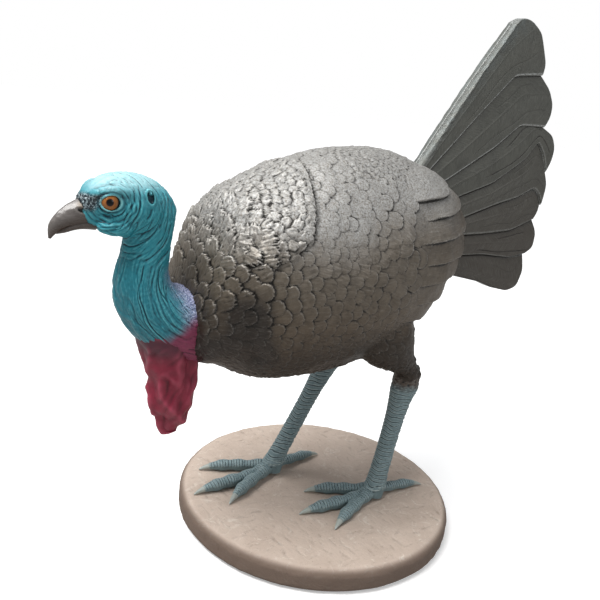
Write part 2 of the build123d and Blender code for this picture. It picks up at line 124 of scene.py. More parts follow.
# Rear rim of the raised shoulder, top to bottom (X, Y, Z, height share)
SHOULDER_RIM = [
    (0, -95, 450, 0.5), (45, -102, 435, 0.8), (70, -110, 412, 1.0), (86, -122, 384, 1.0),
    (88, -145, 364, 0.6), (80, -165, 358, 0.3),
]
SHOULDER_HEIGHT = 3.0
# Furrow between breast and flank (X, Y, Z, depth share)
FURROW_DEPTH = 5.0
FURROW = [(75, -182, 336, 0.2), (79, -178, 308, 1.0), (74, -172, 282, 1.0), (66, -158, 254, 0.8)]
# Big wing feathers in the side view: root Y, Z, tip Y, Z, half width, lift, step over the next, droop
WING = [
    (0, 440, 112, 438, 20, 4.2, 1.8, -6), (16, 422, 142, 422, 22, 5.0, 1.5, -9),
    (4, 399, 154, 397, 23, 5.2, 1.2, -10), (18, 374, 157, 372, 23, 5.2, 0.9, -10),
    (4, 350, 155, 347, 22, 4.8, 0.7, -9), (16, 326, 150, 322, 22, 4.4, 0.5, -8),
    (10, 304, 140, 298, 22, 4.0, 0.3, -7), (52, 284, 120, 276, 20, 3.4, 0.1, -6),
]
# Distance between small feathers, by tract
FLANK_GAP, BREAST_GAP, SHOULDER_GAP, WING_GAP, BACK_GAP, THIGH_GAP = 12.5, 14.5, 8.6, 17.0, 5.6, 9.0
BODY_VOXEL, HEAD_VOXEL, WATTLE_VOXEL, FOOT_VOXEL = 1.2, 0.85, 1.0, 0.8
FLOOR_REACH = 12000


# ---------------------------------------------------------------- numbers
def smooth(low, high, value):
    """Eases from 0 at low to 1 at high."""
    share = np.clip((value - low) / (high - low), 0, 1)
    return share * share * (3 - 2 * share)


def mix(a, b, share):
    """A share of the way from a to b, vertex by vertex."""
    share = np.asarray(share)
    return a + (b - a) * (share[:, None] if np.ndim(b) == 2 or np.ndim(a) == 2 else share)


def unit(vectors):
    return vectors / np.maximum(np.linalg.norm(vectors, axis=-1, keepdims=True), 1e-9)


def noise(where, seed=0):
    """Smooth random values from -1 to 1, about one bump per unit."""
    where = np.asarray(where, float)
    cell = np.floor(where).astype(np.int64)
    part = where - cell
    eased = part * part * (3 - 2 * part)
    total = np.zeros(len(where))
    for corner in range(8):
        step = np.array([corner & 1, corner >> 1 & 1, corner >> 2])
        weight = np.prod(np.where(step, eased, 1 - eased), axis=1)
        x, y, z = (cell + step).T
        bits = (x * 73856093) ^ (y * 19349663) ^ (z * 83492791) ^ (seed * 40503001)
        bits = (bits ^ (bits >> 13)) * 1274126177 & 0x7FFFFFFF
        bits = bits ^ (bits >> 15)
        lean = np.stack([bits & 0x3FF, bits >> 10 & 0x3FF, bits >> 20 & 0x3FF], 1) / 511.5 - 1
        total += weight * ((part - step) * lean).sum(1)
    return total * 1.7


def cloud(where, seed=0, octaves=3):
    """Noise with finer noise over it."""
    return sum(noise(np.asarray(where) * 2.03 ** k, seed + k) / 1.8 ** k for k in range(octaves))


def run_along(line):
    """Length along a line of points, from 0 at its start."""
    return np.concatenate([[0], np.cumsum(np.linalg.norm(np.diff(line, axis=0), axis=1))])


def tree_of(points):
    """Search tree for the nearest of many points."""
    tree = kdtree.KDTree(len(points))
    for index, point in enumerate(points):
        tree.insert(point, index)
    tree.balance()
    return tree


def curve_through(rows, count, position_columns=3):
    """Rows run smoothly through the given rows, evenly spaced by the position columns."""
    rows = np.array(rows, float)
    last = len(rows) - 1
    gaps = np.linalg.norm(np.diff(rows[:, :position_columns], axis=0), axis=1)
    knots = np.concatenate([[0], np.cumsum(gaps)])
    matrix, target = np.eye(last + 1), np.zeros_like(rows)
    slope = np.diff(rows, axis=0) / gaps[:, None]
    for k in range(1, last):
        matrix[k, k - 1:k + 2] = gaps[k - 1], 2 * (gaps[k - 1] + gaps[k]), gaps[k]
        target[k] = 3 * (slope[k] - slope[k - 1])
    bend = np.linalg.solve(matrix, target)
    first = slope - gaps[:, None] * (2 * bend[:-1] + bend[1:]) / 3
    third = (bend[1:] - bend[:-1]) / (3 * gaps[:, None])
    place = np.linspace(0, knots[-1], count)
    k = np.clip(np.searchsorted(knots, place, "right") - 1, 0, last - 1)
    u = (place - knots[k])[:, None]
    return rows[k] + first[k] * u + bend[k] * u ** 2 + third[k] * u ** 3


def line_distance(points, line):
    """Distance to a line of points, the side it is on in the side view, and its fourth column there."""
    line = np.array(line, float)
    best = np.full(len(points), 1e9)
    sign, share = np.ones(len(points)), np.zeros(len(points))
    for a, b in zip(line, line[1:]):
        run = b[:3] - a[:3]
        t = np.clip((points - a[:3]) @ run / (run @ run), 0, 1)
        off = points - a[:3] - t[:, None] * run
        distance = np.linalg.norm(off, axis=1)
        closer = distance < best
        best = np.where(closer, distance, best)
        sign = np.where(closer, np.sign(off[:, 1] * run[2] - off[:, 2] * run[1]), sign)
        share = np.where(closer, a[3] + (b[3] - a[3]) * t, share)
    return best, sign, share


# ---------------------------------------------------------------- meshes
def show(name, data):
    """Puts an object with this data in the scene."""
    shown = bpy.data.objects.new(name, data)
    bpy.context.scene.collection.objects.link(shown)
    return shown


def make(name, verts, faces):
    mesh = bpy.data.meshes.new(name)
    mesh.from_pydata((np.asarray(verts) * MM).tolist(), [], faces)
    mesh.update()
    return show(name, mesh)


def points_of(mesh):
    flat = np.empty(len(mesh.vertices) * 3)
    mesh.vertices.foreach_get("co", flat)
    return flat.reshape(-1, 3) / MM


def normals_of(mesh):
    flat = np.empty(len(mesh.vertices) * 3)
    mesh.vertex_normals.foreach_get("vector", flat)
    return flat.reshape(-1, 3)


def edges_of(mesh):
    flat = np.empty(len(mesh.edges) * 2, np.int32)
    mesh.edges.foreach_get("vertices", flat)
    return flat.reshape(-1, 2)


def set_points(mesh, points):
    mesh.vertices.foreach_set("co", (points * MM).ravel())
    mesh.update()


def push(mesh, points, normals, shift):
    """Moves each vertex along its normal."""
    set_points(mesh, points + normals * shift[:, None])


def keep(mesh, **layers):
    """Stores one number per vertex under each name, for the materials."""
    for name, values in layers.items():
        layer = mesh.attributes.new(name, "FLOAT", "POINT")
        layer.data.foreach_set("value", np.asarray(values, np.float32))


def keep_vector(mesh, name, values):
    layer = mesh.attributes.new(name, "FLOAT_VECTOR", "POINT")
    layer.data.foreach_set("vector", np.asarray(values, np.float32).ravel())


def blur(values, edges, rounds, share=1.0):
    """Draws each vertex's values towards those of its neighbours."""
    values = np.array(values, float)
    single = values.ndim == 1
    values = values[:, None] if single else values
    count = np.maximum(np.bincount(edges.ravel(), minlength=len(values)), 1)
    share = np.asarray(share)[:, None] if np.ndim(share) else share
    for _ in range(rounds):
        mean = np.stack([
            np.bincount(edges[:, 0], values[edges[:, 1], c], len(values))
            + np.bincount(edges[:, 1], values[edges[:, 0], c], len(values))
            for c in range(values.shape[1])], axis=1) / count[:, None]
        values = values + (mean - values) * 0.5 * share
    return values[:, 0] if single else values


def keep_hollows(mesh, fine_rounds=3, wide_rounds=14):
    """Stores how far each vertex stands out from (+) or in (-) its surroundings, in mm."""
    points, edges, normals = points_of(mesh), edges_of(mesh), normals_of(mesh)
    soft = blur(points, edges, fine_rounds)
    softer = blur(soft, edges, wide_rounds)
    keep(mesh, fine=((points - soft) * normals).sum(1), wide=((points - softer) * normals).sum(1))


def tube(centres, across, upward, sides=64):
    """Closed tube of elliptical rings; across and upward hold the half sizes."""
    centres, across, upward = (np.asarray(v, float) for v in (centres, across, upward))
    turn = np.linspace(0, 2 * math.pi, sides, endpoint=False)
    rings = (centres[:, None] + across[:, None] * np.cos(turn)[None, :, None]
             + upward[:, None] * np.sin(turn)[None, :, None])
    count = len(centres)
    verts = np.concatenate([rings.reshape(-1, 3), centres[:1], centres[-1:]])
    faces = []
    for i in range(count - 1):
        for j in range(sides):
            k = (j + 1) % sides
            faces.append((i * sides + j, i * sides + k, (i + 1) * sides + k, (i + 1) * sides + j))
    for j in range(sides):
        k = (j + 1) % sides
        faces.append((count * sides, k, j))
        faces.append((count * sides + 1, (count - 1) * sides + j, (count - 1) * sides + k))
    return verts, faces


def level_tube(centres, half_x, half_y, sides):
    """Closed tube of level ellipses."""
    return tube(centres, np.outer(half_x, (1, 0, 0)), np.outer(half_y, (0, 1, 0)), sides)


def middle_tube(rows, count, sides=64):
    """Tube in the middle plane through rows of Y, Z, climb, half width, half depth."""
    fine = curve_through(rows, count, 2)
    climb = np.radians(fine[:, 2])
    nought = np.zeros(count)
    centres = np.stack([nought, fine[:, 0], fine[:, 1]], 1)
    upward = np.stack([nought, np.sin(climb), np.cos(climb)], 1) * fine[:, 4:5]
    across = np.stack([fine[:, 3], nought, nought], 1)
    return tube(centres, across, upward, sides)


def path_tube(rows, count, sides=24, flatten=1.0):
    """Round tube along rows of X, Y, Z, radius."""
    fine = curve_through(rows, count, 3)
    heading = unit(np.gradient(fine[:, :3], axis=0))
    side = unit(np.cross(heading, UP + 1e-6))
    lift = unit(np.cross(side, heading))
    return tube(fine[:, :3], side * fine[:, 3:4], lift * fine[:, 3:4] * flatten, sides)


def ball(centre, radii, sides=32):
    turn = np.linspace(-math.pi / 2 + 0.05, math.pi / 2 - 0.05, sides // 2)
    centres = np.array(centre) + np.outer(np.sin(turn) * radii[2], UP)
    return level_tube(centres, np.cos(turn) * radii[0], np.cos(turn) * radii[1], sides)


def mirrored(shape):
    verts, faces = shape
    return verts * np.array([-1, 1, 1]), [tuple(reversed(f)) for f in faces]


def one_skin(name, shapes, voxel, softening):
    """One closed skin over overlapping shapes."""
    verts, faces, start = [], [], 0
    for some_verts, some_faces in shapes:
        verts.append(some_verts)
        faces += [tuple(i + start for i in f) for f in some_faces]
        start += len(some_verts)
    rough = make(name + "_rough", np.concatenate(verts), faces)
    skin = rough.modifiers.new("skin", "REMESH")
    skin.mode, skin.voxel_size = "VOXEL", voxel * MM
    soft = rough.modifiers.new("soft", "SMOOTH")
    soft.factor, soft.iterations = 0.5, softening
    mesh = bpy.data.meshes.new_from_object(rough.evaluated_get(bpy.context.evaluated_depsgraph_get()))
    mesh.name = name
    bpy.data.objects.remove(rough)
    return show(name, mesh)


def finish_piece(piece, material, slot, *nodes):
    """Gives a piece its material and lets it stand in for the CAD nodes it covers; slot is not used."""
    piece.data.polygons.foreach_set("use_smooth", [True] * len(piece.data.polygons))
    piece.data.materials.clear()
    piece.data.materials.append(material)
    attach(piece, "root")
    if nodes:
        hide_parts(*nodes)


# ---------------------------------------------------------------- materials
class Paint:
    """A material being built: a principled shader and the nodes that feed it."""

    def __init__(self, name, **uniform):
        self.material = bpy.data.materials.new(name)
        self.material.use_nodes = True
        self.tree = self.material.node_tree
        self.shader = self.tree.nodes["Principled BSDF"]
        for key, value in uniform.items():
            self.shader.inputs[key.replace("_", " ")].default_value = value
        self.place = self.node("ShaderNodeTexCoord").outputs["Object"]

    def node(self, kind, inputs=None, **settings):
        made = self.tree.nodes.new(kind)
        for key, value in settings.items():
            setattr(made, key, value)
        for key, value in (inputs or {}).items():
            if isinstance(value, bpy.types.NodeSocket):
                self.tree.links.new(value, made.inputs[key])
            else:
                made.inputs[key].default_value = value
        return made

    def value(self, name):
        return self.node("ShaderNodeAttribute", attribute_name=name).outputs["Fac"]

    def vector(self, name):
        return self.node("ShaderNodeAttribute", attribute_name=name).outputs["Vector"]

    def grain(self, size_mm, detail=3.0, rough=0.55, vector=None, stretch=None):
        """Noise from 0 to 1 with bumps about size_mm across."""
        vector = vector or self.place
        if stretch:
            vector = self.node("ShaderNodeMapping", {"Vector": vector, "Scale": stretch}).outputs[0]
        made = self.node("ShaderNodeTexNoise", {
            "Vector": vector, "Scale": 1 / (size_mm * MM), "Detail": detail, "Roughness": rough})
        return made.outputs["Fac"]

    def span(self, value, low, high, out_low=0.0, out_high=1.0):
        made = self.node("ShaderNodeMapRange", {
            "Value": value, "From Min": low, "From Max": high, "To Min": out_low, "To Max": out_high})
        return made.outputs[0]

    def math(self, operation, a, b=0.0):
        return self.node("ShaderNodeMath", {0: a, 1: b}, operation=operation).outputs[0]

    def times(self, a, b):
        return self.math("MULTIPLY", a, b)

    def plus(self, a, b):
        return self.math("ADD", a, b)

    def most(self, a, b):
        return self.math("MAXIMUM", a, b)

    def relief(self, wide_share):
        """How far the surface stands out from what is near it and, in part, from what is farther."""
        return self.plus(self.value("fine"), self.times(self.value("wide"), wide_share))

    def blend(self, share, a, b):
        made = self.node("ShaderNodeMix", data_type="RGBA")
        for index, value in ((0, share), (6, a), (7, b)):
            if isinstance(value, bpy.types.NodeSocket):
                self.tree.links.new(value, made.inputs[index])
            else:
                made.inputs[index].default_value = value if index == 0 else (*value, 1.0)
        return made.outputs[2]

    def bump(self, height, depth_mm, strength=1.0, after=None):
        inputs = {"Height": height, "Distance": depth_mm * MM, "Strength": strength}
        if after:
            inputs["Normal"] = after
        return self.node("ShaderNodeBump", inputs).outputs[0]

    def use(self, **sockets):
        for key, value in sockets.items():
            self.tree.links.new(value, self.shader.inputs[key.replace("_", " ")])
        return self.material


def plumage_paint():
    """Dark bronze paint, painted shade in its hollows and on the belly, silver rims part dry brush and part
    painted highlight, a painted sheen on top.
    """
    p = Paint("plumage_paint", Specular_IOR_Level=0.5, Metallic=0.35)
    sheen = p.value("sheen")
    barbs = p.grain(1.0, 2.5, 0.55, p.vector("lay"), (0.00055, 0.00006, 1.0))
    mottle = p.grain(9, 4, 0.6)
    speck = p.grain(1.6, 3, 0.6)
    base = p.blend(mottle, (0.062, 0.050, 0.037), (0.205, 0.174, 0.135))
    brown = p.blend(mottle, (0.048, 0.033, 0.020), (0.140, 0.102, 0.066))
    base = p.blend(p.value("low"), base, brown)
    base = p.blend(p.times(p.value("tone"), 0.22), base, (0.20, 0.19, 0.175))
    # painted sheen: silver patches over the shoulder, back and top of the wing, where the light gleams
    body_sheen = p.times(sheen, p.span(p.grain(1.7, 4, 0.6), 0.28, 0.62))
    base = p.blend(p.times(body_sheen, 0.9), base, (0.46, 0.465, 0.46))
    # painted shade in the furrow, on the lower breast and under the belly
    base = p.blend(p.value("dusk"), base, (0.014, 0.010, 0.008))
    # painted shade in the hollows and under the feather edges
    base = p.blend(p.most(p.span(p.relief(0.5), -0.05, -0.45), p.value("shade")), base, (0.010, 0.008, 0.006))
    # silver on ridges, rims and barbs: part dry-brushed paint, part painted highlight, stronger towards the top
    silver = p.plus(p.span(p.value("fine"), 0.04, 0.36), p.times(p.value("rim"), 0.55))
    silver = p.plus(silver, p.times(p.span(barbs, 0.5, 0.70), 0.55))
    silver = p.times(silver, p.span(p.grain(7, 3, 0.6), 0.36, 0.58, 0.35, 1.0))
    silver = p.times(p.times(silver, p.span(speck, 0.35, 0.6)), p.value("bright"))
    silver = p.math("MINIMUM", silver, 0.9)
    base = p.blend(silver, base, (0.48, 0.465, 0.435))
    rough = p.plus(p.span(speck, 0.3, 0.7, 0.32, 0.50), p.times(sheen, 0.10))
    bump = p.bump(barbs, 0.6, 0.8)
    bump = p.bump(speck, 0.3, 0.7, bump)
    return p.use(Base_Color=base, Roughness=rough, Normal=bump)


def tail_paint():
    """Greenish grey-brown paint over barbed vanes, with painted shade in the grooves, painted highlights on the
    rims and a painted sheen along the leading edge.
    """
    p = Paint("tail_paint", Specular_IOR_Level=0.5, Metallic=0.2)
    barbs = p.grain(1.0, 2.5, 0.55, p.vector("lay"), (0.0009, 0.00008, 1.0))
    mottle = p.grain(22, 4, 0.6)
    base = p.blend(mottle, (0.050, 0.052, 0.044), (0.120, 0.122, 0.104))
    base = p.blend(p.value("low"), base, (0.052, 0.042, 0.033))
    # painted sheen: pale bluish patches along the leading edge of the top vane
    lead_sheen = p.span(p.grain(12, 4, 0.65), 0.42, 0.62, 0.2, 1.0)
    base = p.blend(p.times(p.value("lead"), lead_sheen), base, (0.17, 0.205, 0.21))
    base = p.blend(p.span(barbs, 0.45, 0.75, 0, 0.4), base, (0.20, 0.20, 0.18))
    # painted shade in the grooves, in the cracks and where the vane above laps over
    dark = p.most(p.span(p.relief(1.0), -0.08, -0.6), p.value("shade"))
    base = p.blend(dark, base, (0.018, 0.014, 0.011))
    # painted highlight on the rims and ridges, weaker along the leading edge
    shine = p.most(p.value("rim"), p.span(p.value("fine"), 0.08, 0.4))
    shine = p.times(shine, p.span(p.grain(2, 3), 0.3, 0.6))
    shine = p.times(shine, p.span(p.value("lead"), 0.0, 0.5, 1.0, 0.3))
    base = p.blend(shine, base, (0.50, 0.52, 0.51))
    bump = p.bump(barbs, 0.5, 0.8)
    bump = p.bump(p.grain(7, 4, 0.6), 1.2, 0.5, bump)
    return p.use(Base_Color=base, Roughness=p.span(mottle, 0.3, 0.7, 0.34, 0.5), Normal=bump)


def skin_paint():
    """Turquoise skin, a painted highlight on the crown, painted shade in the creases, eye and ear, lavender
    grains and crimson at the collar.
    """
    p = Paint("skin_paint", Specular_IOR_Level=0.4, Roughness=0.42)
    cells = p.grain(5, 4, 0.6)
    speck = p.grain(1.2, 3, 0.6)
    base = p.blend(cells, (0.010, 0.155, 0.21), (0.026, 0.31, 0.38))
    # painted highlight: paler on the crown, where the light falls
    base = p.blend(p.value("crown"), base, (0.38, 0.62, 0.66))
    base = p.blend(p.times(p.value("low"), 0.75), base, (0.012, 0.15, 0.20))
    base = p.blend(p.times(p.span(p.relief(0.5), 0.05, 0.5), 0.65), base, (0.13, 0.52, 0.58))
    lavender = p.blend(p.span(speck, 0.42, 0.6), (0.12, 0.13, 0.30), (0.62, 0.66, 0.86))
    base = p.blend(p.value("collar"), base, lavender)
    red = p.blend(cells, (0.16, 0.02, 0.06), (0.28, 0.04, 0.10))
    base = p.blend(p.value("red"), base, red)
    # painted shade in the creases and in the hollows of eye, ear and lid
    crease = p.most(p.span(p.relief(0.4), -0.04, -0.42), p.value("shade"))
    dark = p.blend(p.value("red"), (0.002, 0.030, 0.050), (0.035, 0.006, 0.018))
    base = p.blend(p.times(crease, 0.92), base, dark)
    bristle = p.blend(p.span(p.grain(2.0, 3, 0.7), 0.50, 0.62), (0.012, 0.022, 0.030), (0.30, 0.38, 0.41))
    base = p.blend(p.value("bristle"), base, bristle)
    base = p.blend(p.value("lid"), base, (0.30, 0.56, 0.56))
    bump = p.bump(p.grain(2.2, 4, 0.6), 0.35, 0.6)
    return p.use(Base_Color=base, Normal=bump)


def wattle_paint():
    """Crimson, browner at the root, with pale ridges and painted shade in the folds."""
    p = Paint("wattle_paint", Specular_IOR_Level=0.35, Roughness=0.46, Subsurface_Weight=0.05,
              Subsurface_Radius=(0.004, 0.001, 0.001))
    wide = p.value("wide")
    base = p.blend(p.grain(14, 4, 0.6), (0.14, 0.010, 0.026), (0.31, 0.024, 0.056))
    base = p.blend(p.value("top"), base, (0.085, 0.018, 0.034))
    base = p.blend(p.span(wide, 0.1, 0.9, 0, 0.6), base, (0.46, 0.08, 0.13))
    # painted shade in the folds
    base = p.blend(p.span(wide, -0.05, -0.8, 0, 0.85), base, (0.07, 0.004, 0.012))
    bump = p.bump(p.grain(4, 4, 0.6), 0.5, 0.6)
    return p.use(Base_Color=base, Normal=bump)


def bill_paint():
    """Grey horn, tan along the top of the bill and darker brown underneath, partly painted shade where it faces
    down.
    """
    p = Paint("bill_paint", Specular_IOR_Level=0.5)
    streak = p.grain(3, 4, 0.6, None, (1.0, 0.3, 1.0))
    base = p.blend(streak, (0.085, 0.075, 0.070), (0.19, 0.175, 0.165))
    base = p.blend(p.value("tan"), base, (0.36, 0.29, 0.22))
    base = p.blend(p.value("low"), base, (0.055, 0.036, 0.026))
    base = p.blend(p.value("pit"), base, (0.008, 0.006, 0.005))
    bump = p.bump(streak, 0.3, 0.5)
    return p.use(Base_Color=base, Roughness=p.span(streak, 0.3, 0.7, 0.20, 0.36), Normal=bump)


def eye_paint():
    """Black pupil in an amber iris, darker at both edges."""
    p = Paint("eye_paint", Specular_IOR_Level=0.3, Roughness=0.10)
    ring = p.value("ring")
    spokes = p.grain(1.1, 3, 0.7)
    iris = p.blend(spokes, (0.16, 0.045, 0.010), (0.50, 0.20, 0.055))
    iris = p.blend(p.span(ring, 0.45, 0.38), iris, (0.06, 0.016, 0.006))
    iris = p.blend(p.span(ring, 0.92, 1.15), iris, (0.02, 0.008, 0.005))
    base = p.blend(p.span(ring, 0.36, 0.33), iris, (0.003, 0.003, 0.004))
    return p.use(Base_Color=base)


def leg_paint():
    """Blue-grey scales with painted highlights on the raised scales and painted shade in the grooves, brown
    towards the thigh.
    """
    p = Paint("leg_paint", Specular_IOR_Level=0.45)
    cells = p.grain(6, 4, 0.6)
    base = p.blend(cells, (0.095, 0.150, 0.165), (0.205, 0.295, 0.315))
    base = p.blend(p.value("claw"), base, (0.34, 0.37, 0.34))
    base = p.blend(p.value("brown"), base, (0.085, 0.062, 0.046))
    # painted highlight on the raised scales, less on the brown hock
    scale_highlight = p.times(p.span(p.value("fine"), 0.04, 0.35), p.span(p.grain(3, 3), 0.30, 0.55))
    scale_highlight = p.times(scale_highlight, p.span(p.value("brown"), 0.0, 1.0, 0.85, 0.12))
    base = p.blend(scale_highlight, base, (0.46, 0.55, 0.55))
    # painted shade in the grooves
    base = p.blend(p.span(p.relief(0.2), -0.02, -0.40, 0, 0.92), base, (0.008, 0.018, 0.022))
    bump = p.bump(p.grain(1.4, 3), 0.2, 0.6)
    return p.use(Base_Color=base, Roughness=p.span(cells, 0.3, 0.7, 0.38, 0.55), Normal=bump)


def cement_paint():
    """Light brown cement with swirls of pale trowelled flecks and painted shade in its hollows."""
    p = Paint("cement_paint", Specular_IOR_Level=0.3)
    blotch = p.grain(40, 5, 0.65)
    base = p.blend(blotch, (0.42, 0.330, 0.270), (0.65, 0.545, 0.465))
    swirl = p.node("ShaderNodeTexNoise", {"Vector": p.place, "Scale": 1 / (38 * MM), "Detail": 2.0})
    swirl = swirl.outputs["Color"]
    swirl = p.node("ShaderNodeVectorMath", {0: swirl, 1: (0.07, 0.07, 0.0)}, operation="MULTIPLY").outputs[0]
    bent = p.node("ShaderNodeVectorMath", {0: p.place, 1: swirl}, operation="ADD").outputs[0]
    strokes = p.grain(4.5, 3, 0.6, bent, (1.0, 0.28, 1.0))
    cross = p.grain(5.0, 3, 0.6, bent, (0.30, 1.0, 1.0))
    flecks = p.times(p.span(p.most(strokes, cross), 0.58, 0.68), p.span(p.grain(26), 0.36, 0.58))
    base = p.blend(p.times(flecks, 0.8), base, (0.66, 0.59, 0.52))
    base = p.blend(p.span(p.grain(2.0, 4, 0.7), 0.60, 0.72, 0, 0.6), base, (0.09, 0.06, 0.045))
    base = p.blend(p.value("side"), base, (0.115, 0.075, 0.055))
    # painted shade in the hollows
    base = p.blend(p.span(p.value("wide"), -0.05, -0.5, 0, 0.6), base, (0.09, 0.06, 0.045))
    bump = p.bump(p.grain(3, 5, 0.65), 0.6, 0.8)
    bump = p.bump(strokes, 0.8, 0.5, bump)
    return p.use(Base_Color=base, Roughness=p.span(blotch, 0.3, 0.7, 0.62, 0.82), Normal=bump)


def plain_paint(name, low, high, size, rough, metal=0.0, stretch=None, depth=0.15):
    """Two close shades of one colour with a matching grain in gloss and relief."""
    p = Paint(name, Metallic=metal)
    grain = p.grain(size, 4, 0.6, None, stretch)
    gloss = p.span(grain, 0.3, 0.7, rough - 0.08, rough + 0.08)
    return p.use(Base_Color=p.blend(grain, low, high), Roughness=gloss, Normal=p.bump(grain, depth, 0.6))


# ---------------------------------------------------------------- body
def lay_feathers(points, normals, feathers):
    """Height of overlapping feathers over the skin, with their rims for the painted highlights, edge shadows for
    the painted shade, numbers and barb places.

    A feather starts at its root and runs its length along its way; side and facing are square to that. It
    covers vertices within reach of its middle whose normals agree with facing by more than grip. It rises to lift
    at the tip, the sooner the smaller its slope, over a step, tilted from side to side; round and ragged
    shape the tip, comb the barbs, droop bends the tip and vein draws a line inside the rim.
    """
    tree = tree_of(points)
    height, rim, mark = np.zeros(len(points)), np.zeros(len(points)), np.zeros(len(points))
    lay = np.zeros((len(points), 3))
    borders = []
    for number, f in enumerate(feathers):
        found = np.fromiter((hit[1] for hit in tree.find_range(f["middle"], f["reach"])), int)
        if not len(found):
            continue
        offset = points[found] - f["root"]
        length, half, lift = f["length"], f["half"], f["lift"]
        s = offset @ f["way"]
        t = offset @ f["side"] + f["droop"] * np.clip(s / length, 0, 1) ** 2
        usable = (normals[found] @ f["facing"] > f["grip"]) & (np.abs(t) < half + 3)
        usable &= (s > 0) & (s < length + 4)
        found, s, t = found[usable], s[usable], t[usable]
        if not len(found):
            continue
        u = np.clip(np.abs(t) / half, 0, 1)
        fringe = noise(np.stack([t / 1.5, np.full(len(t), number * 7.3), s * 0], 1), 5)
        ends = length - f["round"] * half * (1 - np.sqrt(1 - u * u)) + f["ragged"] * fringe
        inside = np.minimum(ends - s, (half - np.abs(t)) * 1.2)
        share = np.clip(s / length, 0, 1)
        rise = lift * share ** f["slope"] * (1 - 0.22 * u * u) + f["step"] - f["tilt"] * t / half
        rise = rise * smooth(0, 0.45, share)
        comb = noise(np.stack([t / 2.7, s / 12, np.full(len(t), number * 3.1)], 1), 9)
        rise = rise + f["comb"] * comb * smooth(0.25, 0.9, share)
        top = rise * smooth(0, 0.9, inside)
        over = (inside > 0) & (top > height[found])
        chosen = found[over]
        height[chosen] = top[over]
        line = np.exp(-(inside[over] / 1.5) ** 2) + f["vein"] * np.exp(-((inside[over] - 4.6) / 0.7) ** 2)
        rim[chosen] = np.clip(line, 0, 1) * smooth(0.35, 0.8, s[over] / length / f["slope"])
        mark[chosen] = number
        lay[chosen] = np.stack([t[over], s[over], np.full(over.sum(), number * 0.37)], 1)
        outside = (inside <= 0) & (inside > -4) & (s > length * 0.3)
        borders.append((found[outside], inside[outside], rise[outside]))
    shade = np.zeros(len(points))
    for found, inside, rise in borders:
        drop = np.clip(rise - height[found], 0, 3) / 1.8
        np.maximum.at(shade, found, drop * np.exp(inside / 1.6))
    return height, rim, np.clip(shade, 0, 1), mark, lay


def spread_centres(points, spacing, random):
    """Centres over the surface, no two closer than the local spacing, then evened out."""
    chosen = np.empty((6000, 3))
    count = 0
    for index in random.permutation(len(points))[:26000]:
        gap = chosen[:count] - points[index]
        if not count or (gap * gap).sum(1).min() > (0.86 * spacing[index]) ** 2:
            chosen[count] = points[index]
            count += 1
    centres = chosen[:count].copy()
    sample = points[::6]
    for _ in range(3):
        tree = tree_of(centres)
        owner = np.fromiter((tree.find(p)[1] for p in sample), int)
        share = np.maximum(np.bincount(owner, minlength=count), 1)
        moved = np.stack([np.bincount(owner, sample[:, c], count) for c in range(3)], 1) / share[:, None]
        centres = np.where((share > 2)[:, None], moved, centres)
    return centres


def body_half_width(y, z):
    """X of the body's side at a place in the side view."""
    table = np.array(BODY, float)
    middle, wide, high = (np.interp(y, table[:, 0], table[:, c]) for c in (1, 2, 3))
    return wide * math.sqrt(max(0.02, 1 - ((z - middle) / high) ** 2))


def body_skin():
    """Trunk and thighs as one skin, blended where they join, and its points."""
    rows = curve_through(BODY, 90, 4)
    centres = np.stack([np.zeros(len(rows)), rows[:, 0], rows[:, 1]], 1)
    shapes = [tube(centres, np.outer(rows[:, 2], (1, 0, 0)), np.outer(rows[:, 3], UP), 120)]
    for leg in LEGS.values():
        hock, x = leg["hock"], leg["x"]
        thigh = curve_through([
            (x, hock, 194, 15.0, 17.4), (x, hock, 199, 15.4, 18.0), (x, 0.6 * hock + 15, 212, 18, 27),
            (x, 0.1 * hock + 34, 226, 25, 37), (x, 34, 246, 29, 38), (x, 32, 290, 24, 28)], 40, 3)
        shapes.append(level_tube(thigh[:, :3], thigh[:, 3], thigh[:, 4], 48))
    body = one_skin("body", shapes, BODY_VOXEL, 4)
    points = points_of(body.data)
    x, y, z = np.abs(points[:, 0]), points[:, 1], points[:, 2]
    joint = smooth(205, 228, z) * smooth(285, 262, z) * smooth(-30, -5, y)
    joint *= smooth(115, 95, y) * smooth(8, 22, x)
    points = blur(points, edges_of(body.data), 60, joint)
    set_points(body.data, points)
    return body, points


def find_tracts(points, ahead, thigh):
    """How far each vertex belongs to each kind of plumage; ahead is its distance from the shoulder's rim."""
    y, z = points[:, 1], points[:, 2]
    back = smooth(432, 444, z) * smooth(-70, -40, y)
    return dict(
        shoulder=smooth(-2, 2, ahead) * smooth(-60, -110, y) * smooth(345, 368, z),
        breast=smooth(-150, -172, y) * smooth(296, 322, z),
        back=back,
        wing=smooth(-45, -5, y) * smooth(46, 30, y) * smooth(270, 300, z) * (1 - back),
        rear_wing=smooth(22, 38, y) * smooth(258, 285, z) * (1 - back),
        under=smooth(300, 270, z),
        thigh=thigh)


